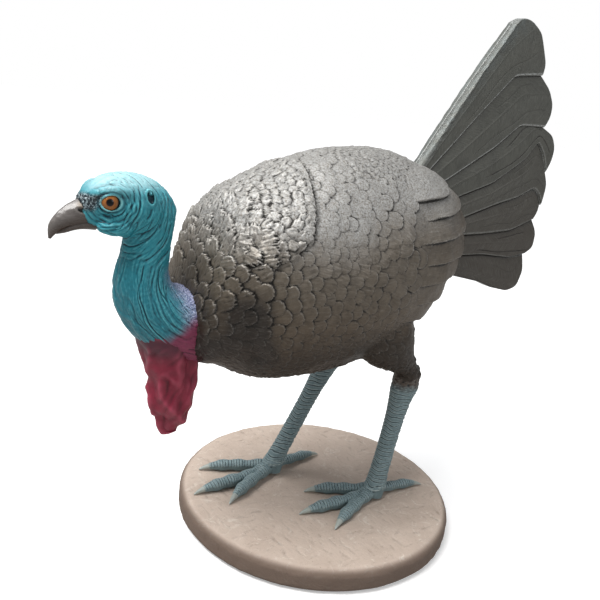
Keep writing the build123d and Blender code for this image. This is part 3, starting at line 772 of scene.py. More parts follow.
def small_feathers(points, normals, tracts, random):
    """Feathers all over the body, their spacing, heading and lift set by the tracts."""
    shoulder, breast, thigh = tracts["shoulder"], tracts["breast"], tracts["thigh"]
    gaps = FLANK_GAP - 1.5 * tracts["under"]
    gaps = gaps + (BREAST_GAP - gaps) * breast
    gaps = gaps + (SHOULDER_GAP - gaps) * shoulder * (1 - breast)
    gaps = gaps + (WING_GAP - gaps) * tracts["wing"]
    gaps = gaps + (BACK_GAP - gaps) * tracts["back"]
    gaps = np.where(thigh > 0.4, THIGH_GAP, gaps)
    centres = spread_centres(points, gaps, random)
    tree = tree_of(points)
    near = np.fromiter((tree.find(c)[1] for c in centres), int)
    y, z = points[near, 1], points[near, 2]
    from_collar = unit(points[near] - COLLAR + np.array([0, 0, 12.0]))
    rearward = np.tile(unit(np.array([0, 1.0, -0.28])), (len(near), 1))
    downward = np.tile(np.array([0, 0.15, -1.0]), (len(near), 1))
    front = np.maximum(smooth(-95, -160, y) * smooth(262, 300, z), shoulder[near])
    ways = unit(mix(rearward, from_collar, front))
    ways = unit(mix(ways, downward, thigh[near]))
    feathers = []
    for k, index in enumerate(near):
        shoulder, breast, back, wing, rear_wing, under, thigh = (tract[index] for tract in tracts.values())
        facing = normals[index]
        way = ways[k] + random.normal(0, 0.17 + 0.30 * shoulder, 3)
        way = unit(way - facing * (way @ facing))
        gap = gaps[index] * random.uniform(0.9, 1.12)
        length, half = 1.75 * gap, 0.66 * gap
        lift = 1.25 + 1.8 * breast + 0.15 * shoulder + 0.5 * front[k] - 0.35 * under
        lift *= random.uniform(0.55, 1.2)
        lift *= 1 - 0.2 * back - 0.5 * thigh
        lift *= (1 + 0.8 * wing) * (1 - 0.85 * rear_wing)
        feathers.append(dict(
            root=points[index] - way * length * 0.6, way=way, side=np.cross(facing, way), facing=facing,
            length=length, half=half, middle=points[index] - way * length * 0.1, reach=0.62 * length + half,
            grip=0.3, lift=lift, step=random.uniform(0, 0.35) * lift, round=1.0,
            ragged=0.10 * gap * (0.6 + breast + 2.4 * shoulder), comb=0.42 + 0.25 * breast + 0.6 * shoulder,
            droop=0, vein=0, tilt=0, slope=1.1))
    return feathers


def wing_feathers():
    """The big nested wing feathers, on both sides of the body."""
    feathers = []
    for y0, z0, y1, z1, half, lift, step, droop in WING:
        for flip in (1, -1):
            run = np.array([0, y1 - y0, z1 - z0], float)
            length = np.linalg.norm(run)
            way = run / length
            mid_y, mid_z = (y0 + y1) / 2, (z0 + z1) / 2
            middle = np.array([flip * body_half_width(mid_y, mid_z), mid_y, mid_z])
            feathers.append(dict(
                root=np.array([0, y0, z0], float), way=way, side=np.array([0, -way[2], way[1]]) * flip,
                facing=np.array([flip, 0.0, 0.0]), length=length, half=half, middle=middle,
                reach=0.62 * length + 24, grip=0.03, lift=lift, step=step, ragged=1.6, comb=0.4, round=2.2,
                droop=droop * flip, vein=0.8, tilt=5.5 * flip, slope=0.45))
    return feathers


def build_body():
    """The feathered body and thighs as one skin, with the values that its paint reads."""
    random = np.random.default_rng(11)
    body, points = body_skin()
    mesh = body.data
    normals = normals_of(mesh)

    # shoulder, furrow and hand-made unevenness
    folded = points.copy()
    folded[:, 0] = np.abs(folded[:, 0])
    away, sign, share = line_distance(folded, SHOULDER_RIM)
    ahead = away * sign
    deep, _, depth = line_distance(folded, FURROW)
    thigh = smooth(240, 222, points[:, 2])
    raised = SHOULDER_HEIGHT * share * np.exp(-(away / 34) ** 2) * smooth(-6, 4, ahead)
    raised -= share * np.exp(-((ahead + 7) / 8) ** 2)
    raised -= FURROW_DEPTH * depth * np.exp(-(deep / 10) ** 2)
    raised += 1.3 * cloud(points / 34, 3, 2) * (1 - thigh)
    points = points + normals * raised[:, None]
    set_points(mesh, points)
    normals = normals_of(mesh)

    # feathers, crumpled on the back and the shoulder, and furrows down the thighs
    x, y, z = points.T
    tracts = find_tracts(points, ahead, thigh)
    shoulder, breast, back = tracts["shoulder"], tracts["breast"], tracts["back"]
    feathers = small_feathers(points, normals, tracts, random) + wing_feathers()
    height, rim, shade, mark, lay = lay_feathers(points, normals, feathers)
    crumple = 0.8 * noise(points / 3.2, 37) + 1.2 * (0.45 - 1.5 * np.abs(noise(points / 6.5, 38)))
    height = height + crumple * (0.12 + 0.20 * shoulder + 0.15 * breast + 0.22 * back) * (1 - thigh)
    furrows = cloud(np.stack([x / 7, (y + 0.35 * z) / 7, (z - 0.3 * y) / 5], 1), 21, 2)
    height = height * (1 - thigh) + thigh * 1.3 * furrows
    push(mesh, points, normals, height - 1.9 * (1 - thigh))

    # what the paint reads
    feather_tone = noise(np.stack([mark * 13.73, mark * 5.17, mark * 0.31], 1), 33)
    # Painted shade: in the furrow between breast and flank, on the lower breast and under the belly.
    dusk = 0.85 * smooth(30, 8, deep) * depth + 0.6 * smooth(-150, -185, y) * smooth(335, 300, z)
    # Painted sheen: lighter on the shoulder, the back and the top of the wing, standing in for light from above.
    sheen = smooth(345, 405, z) * smooth(-20, -80, y) * (0.75 + 0.35 * noise(points / 16, 35))
    sheen = sheen + 0.60 * smooth(395, 440, z) + 0.55 * smooth(370, 420, z) * smooth(150, 60, y)
    lower = smooth(345, 262, z + 0.10 * (y + 20)) * 0.85
    rear_brown = smooth(40, 110, y) * 0.45
    # Painted highlight: the silver grows towards the top of the body, where the light falls.
    bright = (0.30 + 0.75 * smooth(330, 410, z) - 0.25 * smooth(20, 90, y)) * (1 - 0.6 * thigh)
    keep(mesh, rim=rim * (1 - 0.8 * thigh), shade=shade * (1 - thigh),
         tone=np.clip(feather_tone, 0, 1) * (1 - smooth(345, 300, z)),
         dusk=np.clip(dusk + 0.75 * smooth(300, 240, z), 0, 0.88), sheen=np.clip(sheen, 0, 1),
         low=np.clip(np.maximum(lower, rear_brown) + thigh, 0, 1),
         bright=np.clip(bright + 0.25 * shoulder, 0.12, 1.1))
    keep_vector(mesh, "lay", lay)
    keep_hollows(mesh)
    return body


def halve(body, name, keep_left):
    """One closed half of a skin, cut at the middle plane."""
    mesh = body.data.copy()
    mesh.name = name
    work = bmesh.new()
    work.from_mesh(mesh)
    cut = bmesh.ops.bisect_plane(
        work, geom=work.verts[:] + work.edges[:] + work.faces[:], plane_co=(0, 0, 0), plane_no=(1, 0, 0),
        clear_inner=keep_left, clear_outer=not keep_left)
    rim_edges = [g for g in cut["geom_cut"] if isinstance(g, bmesh.types.BMEdge) and g.is_boundary]
    bmesh.ops.holes_fill(work, edges=rim_edges)
    work.to_mesh(mesh)
    work.free()
    return show(name, mesh)


# ---------------------------------------------------------------- head and neck
def rings_about(points, centre, gap, length, seed, open_side=-1):
    """Streaky creases that run round a centre in the side view, from 0 to 1."""
    dy = points[:, 1] - centre[0] + 3.5 * noise(points / 24, seed + 40)
    dz = points[:, 2] - centre[1] + 3.5 * noise(points / 24, seed + 41)
    radius = np.hypot(dy, dz)
    turn = np.arctan2(dz, dy * -open_side) * 36 / length
    first = noise(np.stack([radius / gap, turn, points[:, 0] / 22 + seed], 1), seed)
    second = noise(np.stack([radius / gap * 1.6 + 9, turn * 1.4 + 5, points[:, 0] / 18], 1), seed + 7)
    deep = smooth(0.20, 0.0, np.abs(first)) * smooth(-0.5, 0.1, noise(points / 12, seed + 60))
    return np.clip(deep + 0.6 * smooth(0.16, 0.0, np.abs(second)), 0, 1.2)


def from_eye(points):
    """Distance from the eye in the side view, 1 at the edge of the lids."""
    return np.hypot((points[:, 1] - EYE[1]) / EYE_OPENING[0], (points[:, 2] - EYE[2]) / EYE_OPENING[1])


def from_ear(points):
    """Distance from the leaning ear hole in the side view, 1 at its edge."""
    y, z = points[:, 1] - EAR[1], points[:, 2] - EAR[2]
    return np.hypot((y + 0.24 * z) / EAR_OPENING[0], z / EAR_OPENING[1])


def head_skin():
    """Neck and head with brows, cheeks, lids and ear rims as one skin."""
    brow = path_tube([
        (4, -317, 403, 4), (9, -314, 409, 4.5), (16, -308, 416, 5), (21, -294, 417.5, 5),
        (20, -280, 414, 4)], 30)
    cheek = ball((13, -292, 385), (13, 19, 10))
    turn = np.linspace(0, 2 * math.pi, 40)
    lid_y, lid_z = LID[0] * np.cos(turn), LID[1] * np.sin(turn)
    lid_x = np.sqrt(np.maximum((EYE_RADIUS + 0.6) ** 2 - lid_y ** 2 - lid_z ** 2, 1))
    lid = path_tube(np.stack([EYE[0] + lid_x, EYE[1] + lid_y, EYE[2] + lid_z, 0 * lid_x + 1.35], 1), 90, 12)
    turn = np.linspace(0, 2 * math.pi, 30)
    ear_y = EAR[1] + EAR_OPENING[0] * np.cos(turn) - 1.6 * np.sin(turn)
    ear_z = EAR[2] + EAR_OPENING[1] * np.sin(turn)
    ear = path_tube(np.stack([0 * ear_y + EAR[0] - 0.4, ear_y, ear_z, 0 * ear_y + 1.7], 1), 60, 10)
    shapes = [middle_tube(NECK, 70, 96), middle_tube(HEAD, 60, 96), ball((0, -284, 417), (15, 25, 13))]
    for part in (brow, cheek, lid, ear):
        shapes += [part, mirrored(part)]
    return one_skin("head_neck_shell_skin", shapes, HEAD_VOXEL, 3)


def skin_grooves(points, eye_turn, ear_turn, on_side, collar, crown):
    """Creases round the eye and, lower down, round the throat, finest and closest beside the eye."""
    y, z = points[:, 1], points[:, 2]
    eye_far = np.hypot(y - EYE[1], z - EYE[2])
    upper = smooth(336, 358, z + 0.25 * (y + 257))
    head_rings = 1.1 * rings_about(points, EYE[1:], 9.5, 60, 2)
    head_rings += 0.4 * rings_about(points, EYE[1:], 4.4, 30, 4)
    low_rings = 1.2 * rings_about(points, THROAT, 9.5, 80, 6, 1)
    low_rings += 0.4 * rings_about(points, THROAT, 4.6, 40, 8, 1)
    ripples = 0.5 + 0.5 * np.cos(2 * math.pi * (eye_far + 1.6 * noise(points / 9, 12)) / 4.4)
    ripples = ripples ** 1.5 * smooth(10, 13, eye_far) * smooth(36, 24, eye_far) * smooth(416, 408, z)
    groove = head_rings * upper * (1 - 0.45 * crown) + low_rings * (1 - upper)
    groove = groove * (1 - smooth(1.9, 1.2, eye_turn) * on_side) * (1 - smooth(1.9, 1.2, ear_turn))
    groove = groove * (1 - smooth(-309, -316, y)) + 0.75 * ripples * (1 - smooth(1.5, 1.1, eye_turn))
    return groove * (1 - 0.8 * collar)


def build_head():
    """The wrinkled head and neck, with eye and ear hollows, bristles at the bill and a grained collar."""
    piece = head_skin()
    mesh = piece.data
    points = points_of(mesh)
    x = np.abs(points[:, 0])
    features = smooth(2.2, 1.6, from_eye(points)) * smooth(8, 13, x)
    features = np.maximum(features, smooth(2.2, 1.5, from_ear(points)) * smooth(12, 18, x))
    points = blur(points, edges_of(mesh), 16, 1 - features)
    set_points(mesh, points)
    normals = normals_of(mesh)
    x, y, z = np.abs(points[:, 0]), points[:, 1], points[:, 2]
    eye_turn, ear_turn = from_eye(points), from_ear(points)
    on_side = smooth(8, 13, x)
    in_eye = smooth(1.0, 0.90, eye_turn) * on_side
    in_ear = smooth(0.95, 0.6, ear_turn) * smooth(12, 18, x)
    under_lid = np.exp(-((eye_turn - 1.42) / 0.14) ** 2) * on_side
    crown = smooth(414, 428, z) * smooth(-225, -262, y)
    collar = smooth(-238, -208, y + 0.34 * (z - 300) + 4 * noise(points / 8, 24))
    collar *= smooth(248, 262, z) * smooth(350, 330, z)
    bristle = smooth(-309, -316, y - 0.30 * (z - 400)) * smooth(395, 401, z) * smooth(416, 411, z)
    groove = skin_grooves(points, eye_turn, ear_turn, on_side, collar, crown)
    shift = -1.15 * groove - 5.0 * in_eye - 3.2 * in_ear
    shift += 0.7 * collar * noise(points / 2.6, 15) + 0.25 * noise(points / 3.2, 17)
    shift -= 0.9 * under_lid
    shift += 0.7 * bristle * noise(points / 1.7, 19)
    push(mesh, points, normals, shift)
    # crown holds a painted highlight on the top of the head; shade holds painted shade in the eye and ear hollows
    # and under the lid
    keep(mesh, crown=np.clip(crown * 0.8 + 0.15 * smooth(400, 425, z), 0, 1),
         low=smooth(372, 318, z) * smooth(-205, -232, y), collar=collar,
         red=smooth(270, 248, z - 0.8 * (y + 258) + 6 * noise(points / 10, 23)), bristle=bristle,
         lid=np.exp(-((eye_turn - 1.08) / 0.08) ** 2) * on_side * 0.6,
         shade=np.clip(in_eye + 0.75 * in_ear + 0.55 * under_lid, 0, 1))
    keep_hollows(mesh)
    return piece


def build_wattle():
    """The hanging throat sac, folded and lumpy below its root."""
    rows = curve_through([(y, z, w, d) for z, y, w, d in WATTLE], 60, 2)
    centres = np.stack([np.zeros(len(rows)), rows[:, 0], rows[:, 1]], 1)
    piece = one_skin("wattle_skin", [level_tube(centres, rows[:, 2], rows[:, 3], 80)], WATTLE_VOXEL, 10)
    mesh = piece.data
    points, normals = points_of(mesh), normals_of(mesh)
    z = points[:, 2]
    folds = noise(np.stack([points[:, 0] / 20, points[:, 1] / 20 + z / 60, z / 46], 1), 41)
    lumps = cloud(points / 17, 43, 2)
    free = smooth(268, 250, z)
    notch = np.exp(-(((z - 170) / 7) ** 2)) * smooth(-222, -234, points[:, 1])
    bends = noise(np.stack([points[:, 0] / 20, points[:, 1] / 15 - z / 34, z / 44], 1), 45)
    shift = free * (3.4 * (0.45 - 2.2 * np.abs(folds)) - 1.6 * smooth(0.30, 0.0, np.abs(bends)) + 1.2 * lumps)
    shift = blur(np.clip(shift, -5.5, 2.2) - 4.0 * notch, edges_of(mesh), 9)
    push(mesh, points, normals, shift)
    keep(mesh, top=smooth(238, 262, z))
    keep_hollows(mesh, 4, 30)
    return piece


def build_bill(name, rows, upper):
    """Half of the bill; the upper one has a keel and nostrils."""
    piece = make(name, *middle_tube(rows, 120, 64))
    mesh = piece.data
    points, normals = points_of(mesh), normals_of(mesh)
    x, y, z = np.abs(points[:, 0]), points[:, 1], points[:, 2]
    shift = 0.16 * noise(points / np.array([3, 9, 3]), 51)
    pit, tan = np.zeros(len(points)), np.zeros(len(points))
    if upper:
        keel = np.exp(-(x / 2.2) ** 2) * smooth(0.2, 0.8, normals[:, 2] - 0.4 * normals[:, 1])
        gap = np.hypot((y - NOSTRIL[1] + 0.5 * (z - NOSTRIL[2])) / 4.2, (z - NOSTRIL[2] + 1) / 2.2)
        pit = smooth(1.1, 0.7, gap) * smooth(4, 7, x)
        swell = np.exp(-((gap - 1.5) / 0.5) ** 2) * smooth(4, 7, x)
        shift += 0.8 * keel - 2.4 * pit + 0.7 * swell
        tan = smooth(-331, -318, y) * np.exp(-((z - 404) / 3.5) ** 2) * smooth(2, 6, x)
    push(mesh, points, normals, shift)
    # darker brown underneath: partly the bill's colour, partly painted shade where the surface faces down
    low = smooth(0.25, -0.5, normals[:, 2]) * (0.9 if upper else 0.3) + (0.0 if upper else 0.5)
    keep(mesh, pit=pit, tan=tan, low=np.clip(low, 0, 1))
    return piece


def build_eye(side, flip):
    """The eyeball with its cornea, and the angle from the line of sight for the iris."""
    centre = EYE * np.array([flip, 1, 1])
    gaze = unit(np.array([flip * 1.0, -0.22, 0.08]))
    verts, faces = ball((0, 0, 0), (1, 1, 1), 64)
    along = verts @ gaze
    spread = np.arccos(np.clip(along / np.linalg.norm(verts, axis=1), -1, 1))
    radius = EYE_RADIUS + 0.7 * smooth(0.75, 0.2, spread)
    piece = make(f"{side}_eye_ball", unit(verts) * radius[:, None] + centre, faces)
    keep(piece.data, ring=spread / 0.80)
    return piece


# ---------------------------------------------------------------- legs
def build_shank(side, leg):
    """The lower leg: scutes in front, small scales behind, a wrinkled hock above."""
    rows = curve_through([(z, r) for z, r in SHANK], 330, 1)
    z = rows[:, 0]
    y = leg["foot"] + (leg["hock"] - leg["foot"]) * (z - FOOT_TOP) / (HOCK - FOOT_TOP)
    centres = np.stack([np.full(len(z), leg["x"]), y, z], 1)
    shape = level_tube(centres, rows[:, 1] * SHANK_ACROSS, rows[:, 1] * SHANK_ALONG, 96)
    piece = make(f"{side}_shank_scutes", *shape)
    mesh = piece.data
    points, normals = points_of(mesh), normals_of(mesh)
    z = points[:, 2]
    back = smooth(0.1, 0.6, normals[:, 1])
    wave = z / 5.2 + 0.5 * noise(points / 12, 61) + 0.25 * np.abs(normals[:, 0])
    step = wave % 1.0
    scute = smooth(0.0, 0.22, step) * (1 - 0.35 * step) * smooth(1.0, 0.9, step)
    cells = np.clip(0.6 + 1.2 * noise(points / 2.6, 63), 0, 1)
    hock = smooth(176, 190, z)
    wrinkle = cloud(np.stack([points[:, 0] / 6, points[:, 1] / 6, z / 3.2], 1), 65, 2)
    shift = 1.6 * mix(scute, cells, back) * (1 - hock) + hock * (1.3 * wrinkle + 0.5)
    knob = np.exp(-((z - 181) / 9) ** 2) * smooth(0.0, 0.8, normals[:, 1]) * 2.2
    push(mesh, points, normals, shift + knob - 0.6)
    keep(mesh, brown=smooth(176, 192, z + 4 * noise(points / 7, 67)), claw=np.zeros(len(z)))
    keep_hollows(mesh, 8, 30)
    return piece


def build_foot(side, leg):
    """A foot with three front toes, a hind toe, ringed scutes and claws."""
    x, y = leg["x"], leg["foot"]
    lean = (leg["hock"] - y) / (HOCK - FOOT_TOP)
    hub = path_tube([(x, y - 1, 33, 12.5), (x, y, 40, 13.0), (x, y + 4 * lean, 50, 12.6)], 12, 32)
    shapes, lines = [hub], []
    for tip, bow in zip(leg["toes"] + [leg["hallux"]], (1, -1, 1, -1)):
        start, end = np.array([x, y], float), np.array(tip, float)
        reach = np.linalg.norm(end - start)
        way = (end - start) / reach
        slim = 0.86 if tip == leg["hallux"] else 1.0
        aside = np.array([way[1], -way[0]]) * 3.2
        rows = []
        for share, z, radius in ((0.04, 39.5, 9.2), (0.22, 38.2, 7.2), (0.40, 37.0, 7.0),
                                 ((reach - 27) / reach, 36.2, 6.5), ((reach - 17) / reach, 35.4, 4.6),
                                 ((reach - 6) / reach, 33.4, 2.4), (1.0, 30.8, 0.8)):
            place = start + way * reach * share + aside * math.sin(math.pi * share) * bow
            rows.append((*place, z, radius * slim))
        fine = curve_through(rows, 160, 3)
        run = run_along(fine[:, :3])
        knuckles = np.cos(2 * math.pi * (run[-1] - 30 - run) / 24)
        fine[:, 3] *= 1 + 0.11 * knuckles * smooth(run[-1] - 20, run[-1] - 30, run)
        shapes.append(path_tube(fine[::3], 60, 28, 0.95))
        lines.append((fine, run))
    piece = one_skin(f"{side}_foot_scutes", shapes, FOOT_VOXEL, 3)
    mesh = piece.data
    points, normals = points_of(mesh), normals_of(mesh)
    distance, place, left = np.full(len(points), 1e9), np.zeros(len(points)), np.zeros(len(points))
    for fine, run in lines:
        tree = tree_of(fine[:, :3])
        found = [tree.find(p) for p in points]
        gap = np.array([f[2] for f in found])
        where = run[[f[1] for f in found]]
        closer = gap < distance
        distance, place = np.where(closer, gap, distance), np.where(closer, where, place)
        left = np.where(closer, run[-1] - where, left)
    hub_share = smooth(17, 11, np.hypot(points[:, 0] - x, points[:, 1] - y)) * smooth(36, 42, points[:, 2])
    claw = smooth(16, 13, left)
    step = (place / 3.7 + 0.25 * noise(points / 8, 71)) % 1.0
    ring = smooth(0.0, 0.25, step) * (1 - 0.3 * step) * smooth(1.0, 0.88, step)
    hub_step = (points[:, 2] / 4.8) % 1.0
    ring = mix(ring, smooth(0.0, 0.25, hub_step) * (1 - 0.4 * hub_step), hub_share)
    above = smooth(-0.5, 0.2, normals[:, 2])
    shift = (1.35 * ring * smooth(-0.2, 0.5, normals[:, 2]) - 0.5) * (1 - claw) * above
    points = points + normals * shift[:, None]
    points[:, 2] = np.maximum(points[:, 2], BASE_TOP - 0.3)
    set_points(mesh, points)
    keep(mesh, claw=claw, brown=np.zeros(len(points)))
    keep_hollows(mesh, 4, 12)
    return piece


# ---------------------------------------------------------------- tail
def border(rows, count):
    """Evenly spaced points along a line of points, its corners rounded off."""
    rows = np.array(rows, float)
    run = run_along(rows)
    place = np.linspace(0, run[-1], count)
    line = np.stack([np.interp(place, run, rows[:, c]) for c in (0, 1)], 1)
    for _ in range(int((7.0 / (run[-1] / count)) ** 2)):
        line[1:-1] = (line[:-2] + 2 * line[1:-1] + line[2:]) / 4
    return line


def vane_grid(number):
    """Rows of places (Y, Z) from root to tip of a vane, each from its upper border to its lower."""
    bottom = VANE_LINES[number + 1] + VANE_LAPS.get(number + 1, [])
    tip = VANE_TIPS[number]
    columns = int((np.linalg.norm(np.subtract(tip[0], bottom[-1])) + 30) / 1.3) + 12
    upper = border(VANE_LINES[number] + VANE_LAPS.get(number, []), VANE_STEPS)
    lower, end = border(bottom, VANE_STEPS), border(tip, columns)
    start = np.linspace(upper[0], lower[0], columns)
    u = np.linspace(0, 1, VANE_STEPS)[:, None, None]
    v = np.linspace(0, 1, columns)[None, :, None]
    across = upper[:, None] * (1 - v) + lower[:, None] * v
    along = start[None] * (1 - u) + end[None] * u
    corners = ((upper[0] * (1 - u) * (1 - v)) + lower[0] * (1 - u) * v + upper[-1] * u * (1 - v)
               + lower[-1] * u * v)
    return across + along - corners, u[:, :, 0], v[:, :, 0] * np.ones((VANE_STEPS, 1))


def slab_faces(rows, columns):
    """Faces of a closed slab: a grid outside, the same grid inside, and the rim between them."""
    count, faces = rows * columns, []
    for i in range(rows - 1):
        for j in range(columns - 1):
            a = i * columns + j
            faces.append((a, a + 1, a + columns + 1, a + columns))
            faces.append((a + count, a + count + columns, a + count + columns + 1, a + count + 1))
    rim = [j for j in range(columns)] + [i * columns + columns - 1 for i in range(1, rows)]
    rim += [(rows - 1) * columns + j for j in range(columns - 2, -1, -1)]
    rim += [i * columns for i in range(rows - 2, 0, -1)]
    for a, b in zip(rim, rim[1:] + rim[:1]):
        faces.append((b, a, a + count, b + count))
    return faces


def build_vane(number, side, flip):
    """One tail feather: a barbed vane with its shaft and cracks, low where the next vane laps over it."""
    flat, u, v = vane_grid(number)
    columns = flat.shape[1]
    width = np.linalg.norm(np.diff(flat, axis=1), axis=2).sum(1)[:, None]
    run = run_along(flat[:, columns // 2])[:, None]
    off = (v - VANE_SHAFT) * width
    seed = 80 + number * 3 + (0 if flip > 0 else 50)
    where = np.stack([flat[..., 0], flat[..., 1], np.full(v.shape, seed * 1.7)], -1).reshape(-1, 3)
    soft = (noise(where / np.array([46, 46, 1]), seed)).reshape(v.shape)
    puff = 0.5 + 0.28 * min(number, 5)
    relief = -1.9 + 2.4 * v + 0.9 * soft + puff * np.sin(math.pi * v) * smooth(0, 0.3, u)
    relief += 0.9 * np.exp(-(off / 1.1) ** 2) * (1 - 0.75 * u)
    barb = (run + 0.75 * np.abs(off))
    comb = noise(np.stack([(barb / 1.6).ravel(), (off / 22).ravel(), np.full(v.size, seed)], 1), 91)
    relief += 0.16 * comb.reshape(v.shape)
    from_edge = np.minimum(v * width, (1 - v) * width)
    from_edge = np.minimum(from_edge, (run[-1] - run) + 0.4)
    relief -= 2.2 * np.clip(1 - from_edge / 2.4, 0, 1) ** 2
    crack = np.zeros(v.shape)
    for share, long_from, long_to in ((0.72, 0.35, 0.97), (0.22, 0.55, 0.9)):
        swing = 0.035 * np.sin(u * 17 + number * 2.1)
        crack = np.maximum(crack, np.exp(-(((v - share - swing) * width) / 0.8) ** 2)
                           * smooth(long_from, long_from + 0.1, u) * smooth(long_to, long_to - 0.05, u))
    crack *= 0.35 if number not in (2, 5) else 0.9
    relief -= 1.1 * crack
    lead = np.zeros(v.shape)
    if number == 0:
        relief -= 3.2 * np.clip(1 - v * width / 5.0, 0, 1) ** 2
        waver = 2.5 * noise(np.stack([run.ravel() / 9] * 3, 1), 93).reshape(run.shape)
        lead = smooth(12, 5, v * width + waver)
        lumps = noise(np.stack([(run / 11 + 0 * v).ravel(), (v * 5).ravel(), 0 * v.ravel()], 1), 95)
        relief += lead * (1.6 + 0.9 * lumps.reshape(v.shape))
    outer = np.maximum(CORE_HALF + FEATHER_THICKNESS + relief, CORE_HALF + 1.2)
    outside = np.stack([outer * flip, flat[..., 0], flat[..., 1]], -1).reshape(-1, 3)
    inside = outside.copy()
    inside[:, 0] = CORE_HALF * 0.2 * flip
    faces = slab_faces(VANE_STEPS, columns)
    if flip < 0:
        faces = [tuple(reversed(f)) for f in faces]
    piece = make(f"tail_vane_{side}_{number + 1}", np.concatenate([outside, inside]), faces)

    # rim: a painted highlight line just inside the lower edge
    edge_line = np.exp(-(((1 - v) * width - 2.4) / 1.1) ** 2) * (1.0 if number in (0, 1) else 0.4)
    # shade: painted shade where the vane above laps over and in the cracks
    shade = np.exp(-(v * width / 2.6) ** 2) * (0.85 if number else 0.0) + 0.8 * crack
    shown = dict(
        rim=np.maximum(edge_line, lead * 0.3), shade=np.clip(shade, 0, 1),
        lead=np.clip((1 - smooth(0.0, 0.55, v)) * 0.55 if number == 0 else 0 * v, 0, 1),
        low=np.full(v.shape, smooth(1.5, 5, number) * 0.8))
    hidden = np.zeros(v.size)
    keep(piece.data, **{name: np.concatenate([values.ravel(), hidden]) for name, values in shown.items()})
    lay = np.stack([barb, off, np.full(v.shape, seed * 0.37)], -1).reshape(-1, 3)
    keep_vector(piece.data, "lay", np.concatenate([lay, lay]))
    keep_hollows(piece.data, 2, 8)
    return piece


# ---------------------------------------------------------------- base
def build_base():
    """The trowelled cement base, turned from its outline, with the pocket for the plate underneath."""
    top_turn, low_turn = np.linspace(0, math.pi / 2, 16)[1:], np.linspace(0, math.pi / 2, 8)
    flat_radius, steps = BASE_RADIUS - TOP_ROUNDING, 130
    radius = list(np.linspace(0.5, flat_radius, steps)) + list(flat_radius + TOP_ROUNDING * np.sin(top_turn))
    height = [BASE_TOP] * steps + list(BASE_TOP - TOP_ROUNDING + TOP_ROUNDING * np.cos(top_turn))
    radius += [BASE_RADIUS] * 2 + list(BASE_RADIUS - BOTTOM_ROUNDING + BOTTOM_ROUNDING * np.cos(low_turn))
    height += [16, 11] + list(BASE_BOTTOM + BOTTOM_ROUNDING - BOTTOM_ROUNDING * np.sin(low_turn))
    radius += [150, POCKET_RADIUS, POCKET_RADIUS, 60, 0.5]
    height += [BASE_BOTTOM, BASE_BOTTOM, POCKET_TOP, POCKET_TOP, POCKET_TOP]
    radius, height = np.array(radius), np.array(height, float)
    nought = np.zeros(len(radius))
    verts, faces = level_tube(np.stack([nought, nought, height], 1), radius, radius, 420)
    piece = make("base_trowelled", verts, [tuple(reversed(f)) for f in faces])
    mesh = piece.data
    points, normals = points_of(mesh), normals_of(mesh)
    if normals[0][2] < 0:
        mesh.flip_normals()
        normals = normals_of(mesh)
    x, y, z = points.T
    reach = np.hypot(x, y)
    outer = ((z > BASE_BOTTOM + 1) & (reach > POCKET_RADIUS + 4)) | (z > BASE_TOP - 1)
    strokes = cloud(np.stack([x / 26, y / 9, z / 12], 1), 101, 3)
    other = cloud(np.stack([x / 10, y / 24, z / 12], 1), 103, 3)
    pick = smooth(-0.2, 0.2, noise(points / 45, 105))
    shift = 0.55 * mix(strokes, other, pick) + 0.5 * noise(points / 50, 107) - 0.35
    push(mesh, points, normals, shift * outer)
    keep(mesh, side=smooth(BASE_RADIUS - 9, BASE_RADIUS - 1, reach) * 0.85)
    keep_hollows(mesh, 3, 12)
    return piece


# ---------------------------------------------------------------- the decoy
plumage = plumage_paint()
body = build_body()
for side, is_left in (("left", True), ("right", False)):
    half = halve(body, f"plumage_{side}", is_left)
    finish_piece(half, plumage, "plumage", f"body_shell_{side}", f"{side}_thigh")
bpy.data.objects.remove(body)

finish_piece(build_head(), skin_paint(), "skin_blue", "head_neck_shell")
finish_piece(build_wattle(), wattle_paint(), "wattle_red", "wattle")
bill = bill_paint()
finish_piece(build_bill("upper_bill_horn", UPPER_BILL, True), bill, "bill_horn", "upper_bill")
finish_piece(build_bill("lower_bill_horn", LOWER_BILL, False), bill, "bill_horn", "lower_bill")
eye_gloss, scales, vane_paint = eye_paint(), leg_paint(), tail_paint()
for side, flip in (("left", 1), ("right", -1)):
    finish_piece(build_eye(side, flip), eye_gloss, "eye_glass", f"{side}_eye")
    finish_piece(build_shank(side, LEGS[side]), scales, "leg_scales", f"{side}_shank")
    finish_piece(build_foot(side, LEGS[side]), scales, "leg_scales", f"{side}_foot")
    for number in range(len(VANE_TIPS)):
        vane = build_vane(number, side, flip)
        finish_piece(vane, vane_paint, "tail_paint", f"tail_feather_{side}_{number + 1}")
finish_piece(build_base(), cement_paint(), "cement", "base_shell")

# Slots of the inner pieces: two shades, grain size, roughness, metal, stretch of the grain, relief
INNER = {
    "pad_rubber": ((0.012, 0.012, 0.012), (0.030, 0.030, 0.029), 1.2, 0.78),
    "plate_steel": ((0.018, 0.018, 0.019), (0.035, 0.035, 0.037), 2.5, 0.45),
    "fastener_steel": ((0.42, 0.43, 0.44), (0.60, 0.60, 0.59), 3, 0.36, 1.0, (1, 1, 0.2), 0.05),
    "ply": ((0.38, 0.25, 0.13), (0.58, 0.42, 0.25), 4, 0.6, 0.0, (0.2, 1, 1)),
    "laminate": ((0.10, 0.09, 0.07), (0.17, 0.16, 0.13), 6, 0.5),
}
inner_paints = {slot: plain_paint(slot, *look) for slot, look in INNER.items()}
for subpart in frame["record"]["subparts"]:
    paint = inner_paints.get(subpart["material_slot"])
    if paint:
        shown = frame["nodes"][subpart["node"]]
        shown.data.materials.clear()
        shown.data.materials.append(paint)

# ---------------------------------------------------------------- floor, light and camera
corners = [(x * FLOOR_REACH, y * FLOOR_REACH, 0) for x, y in ((-1, -1), (1, -1), (1, 1), (-1, 1))]
floor = make("floor", corners, [(0, 1, 2, 3)])
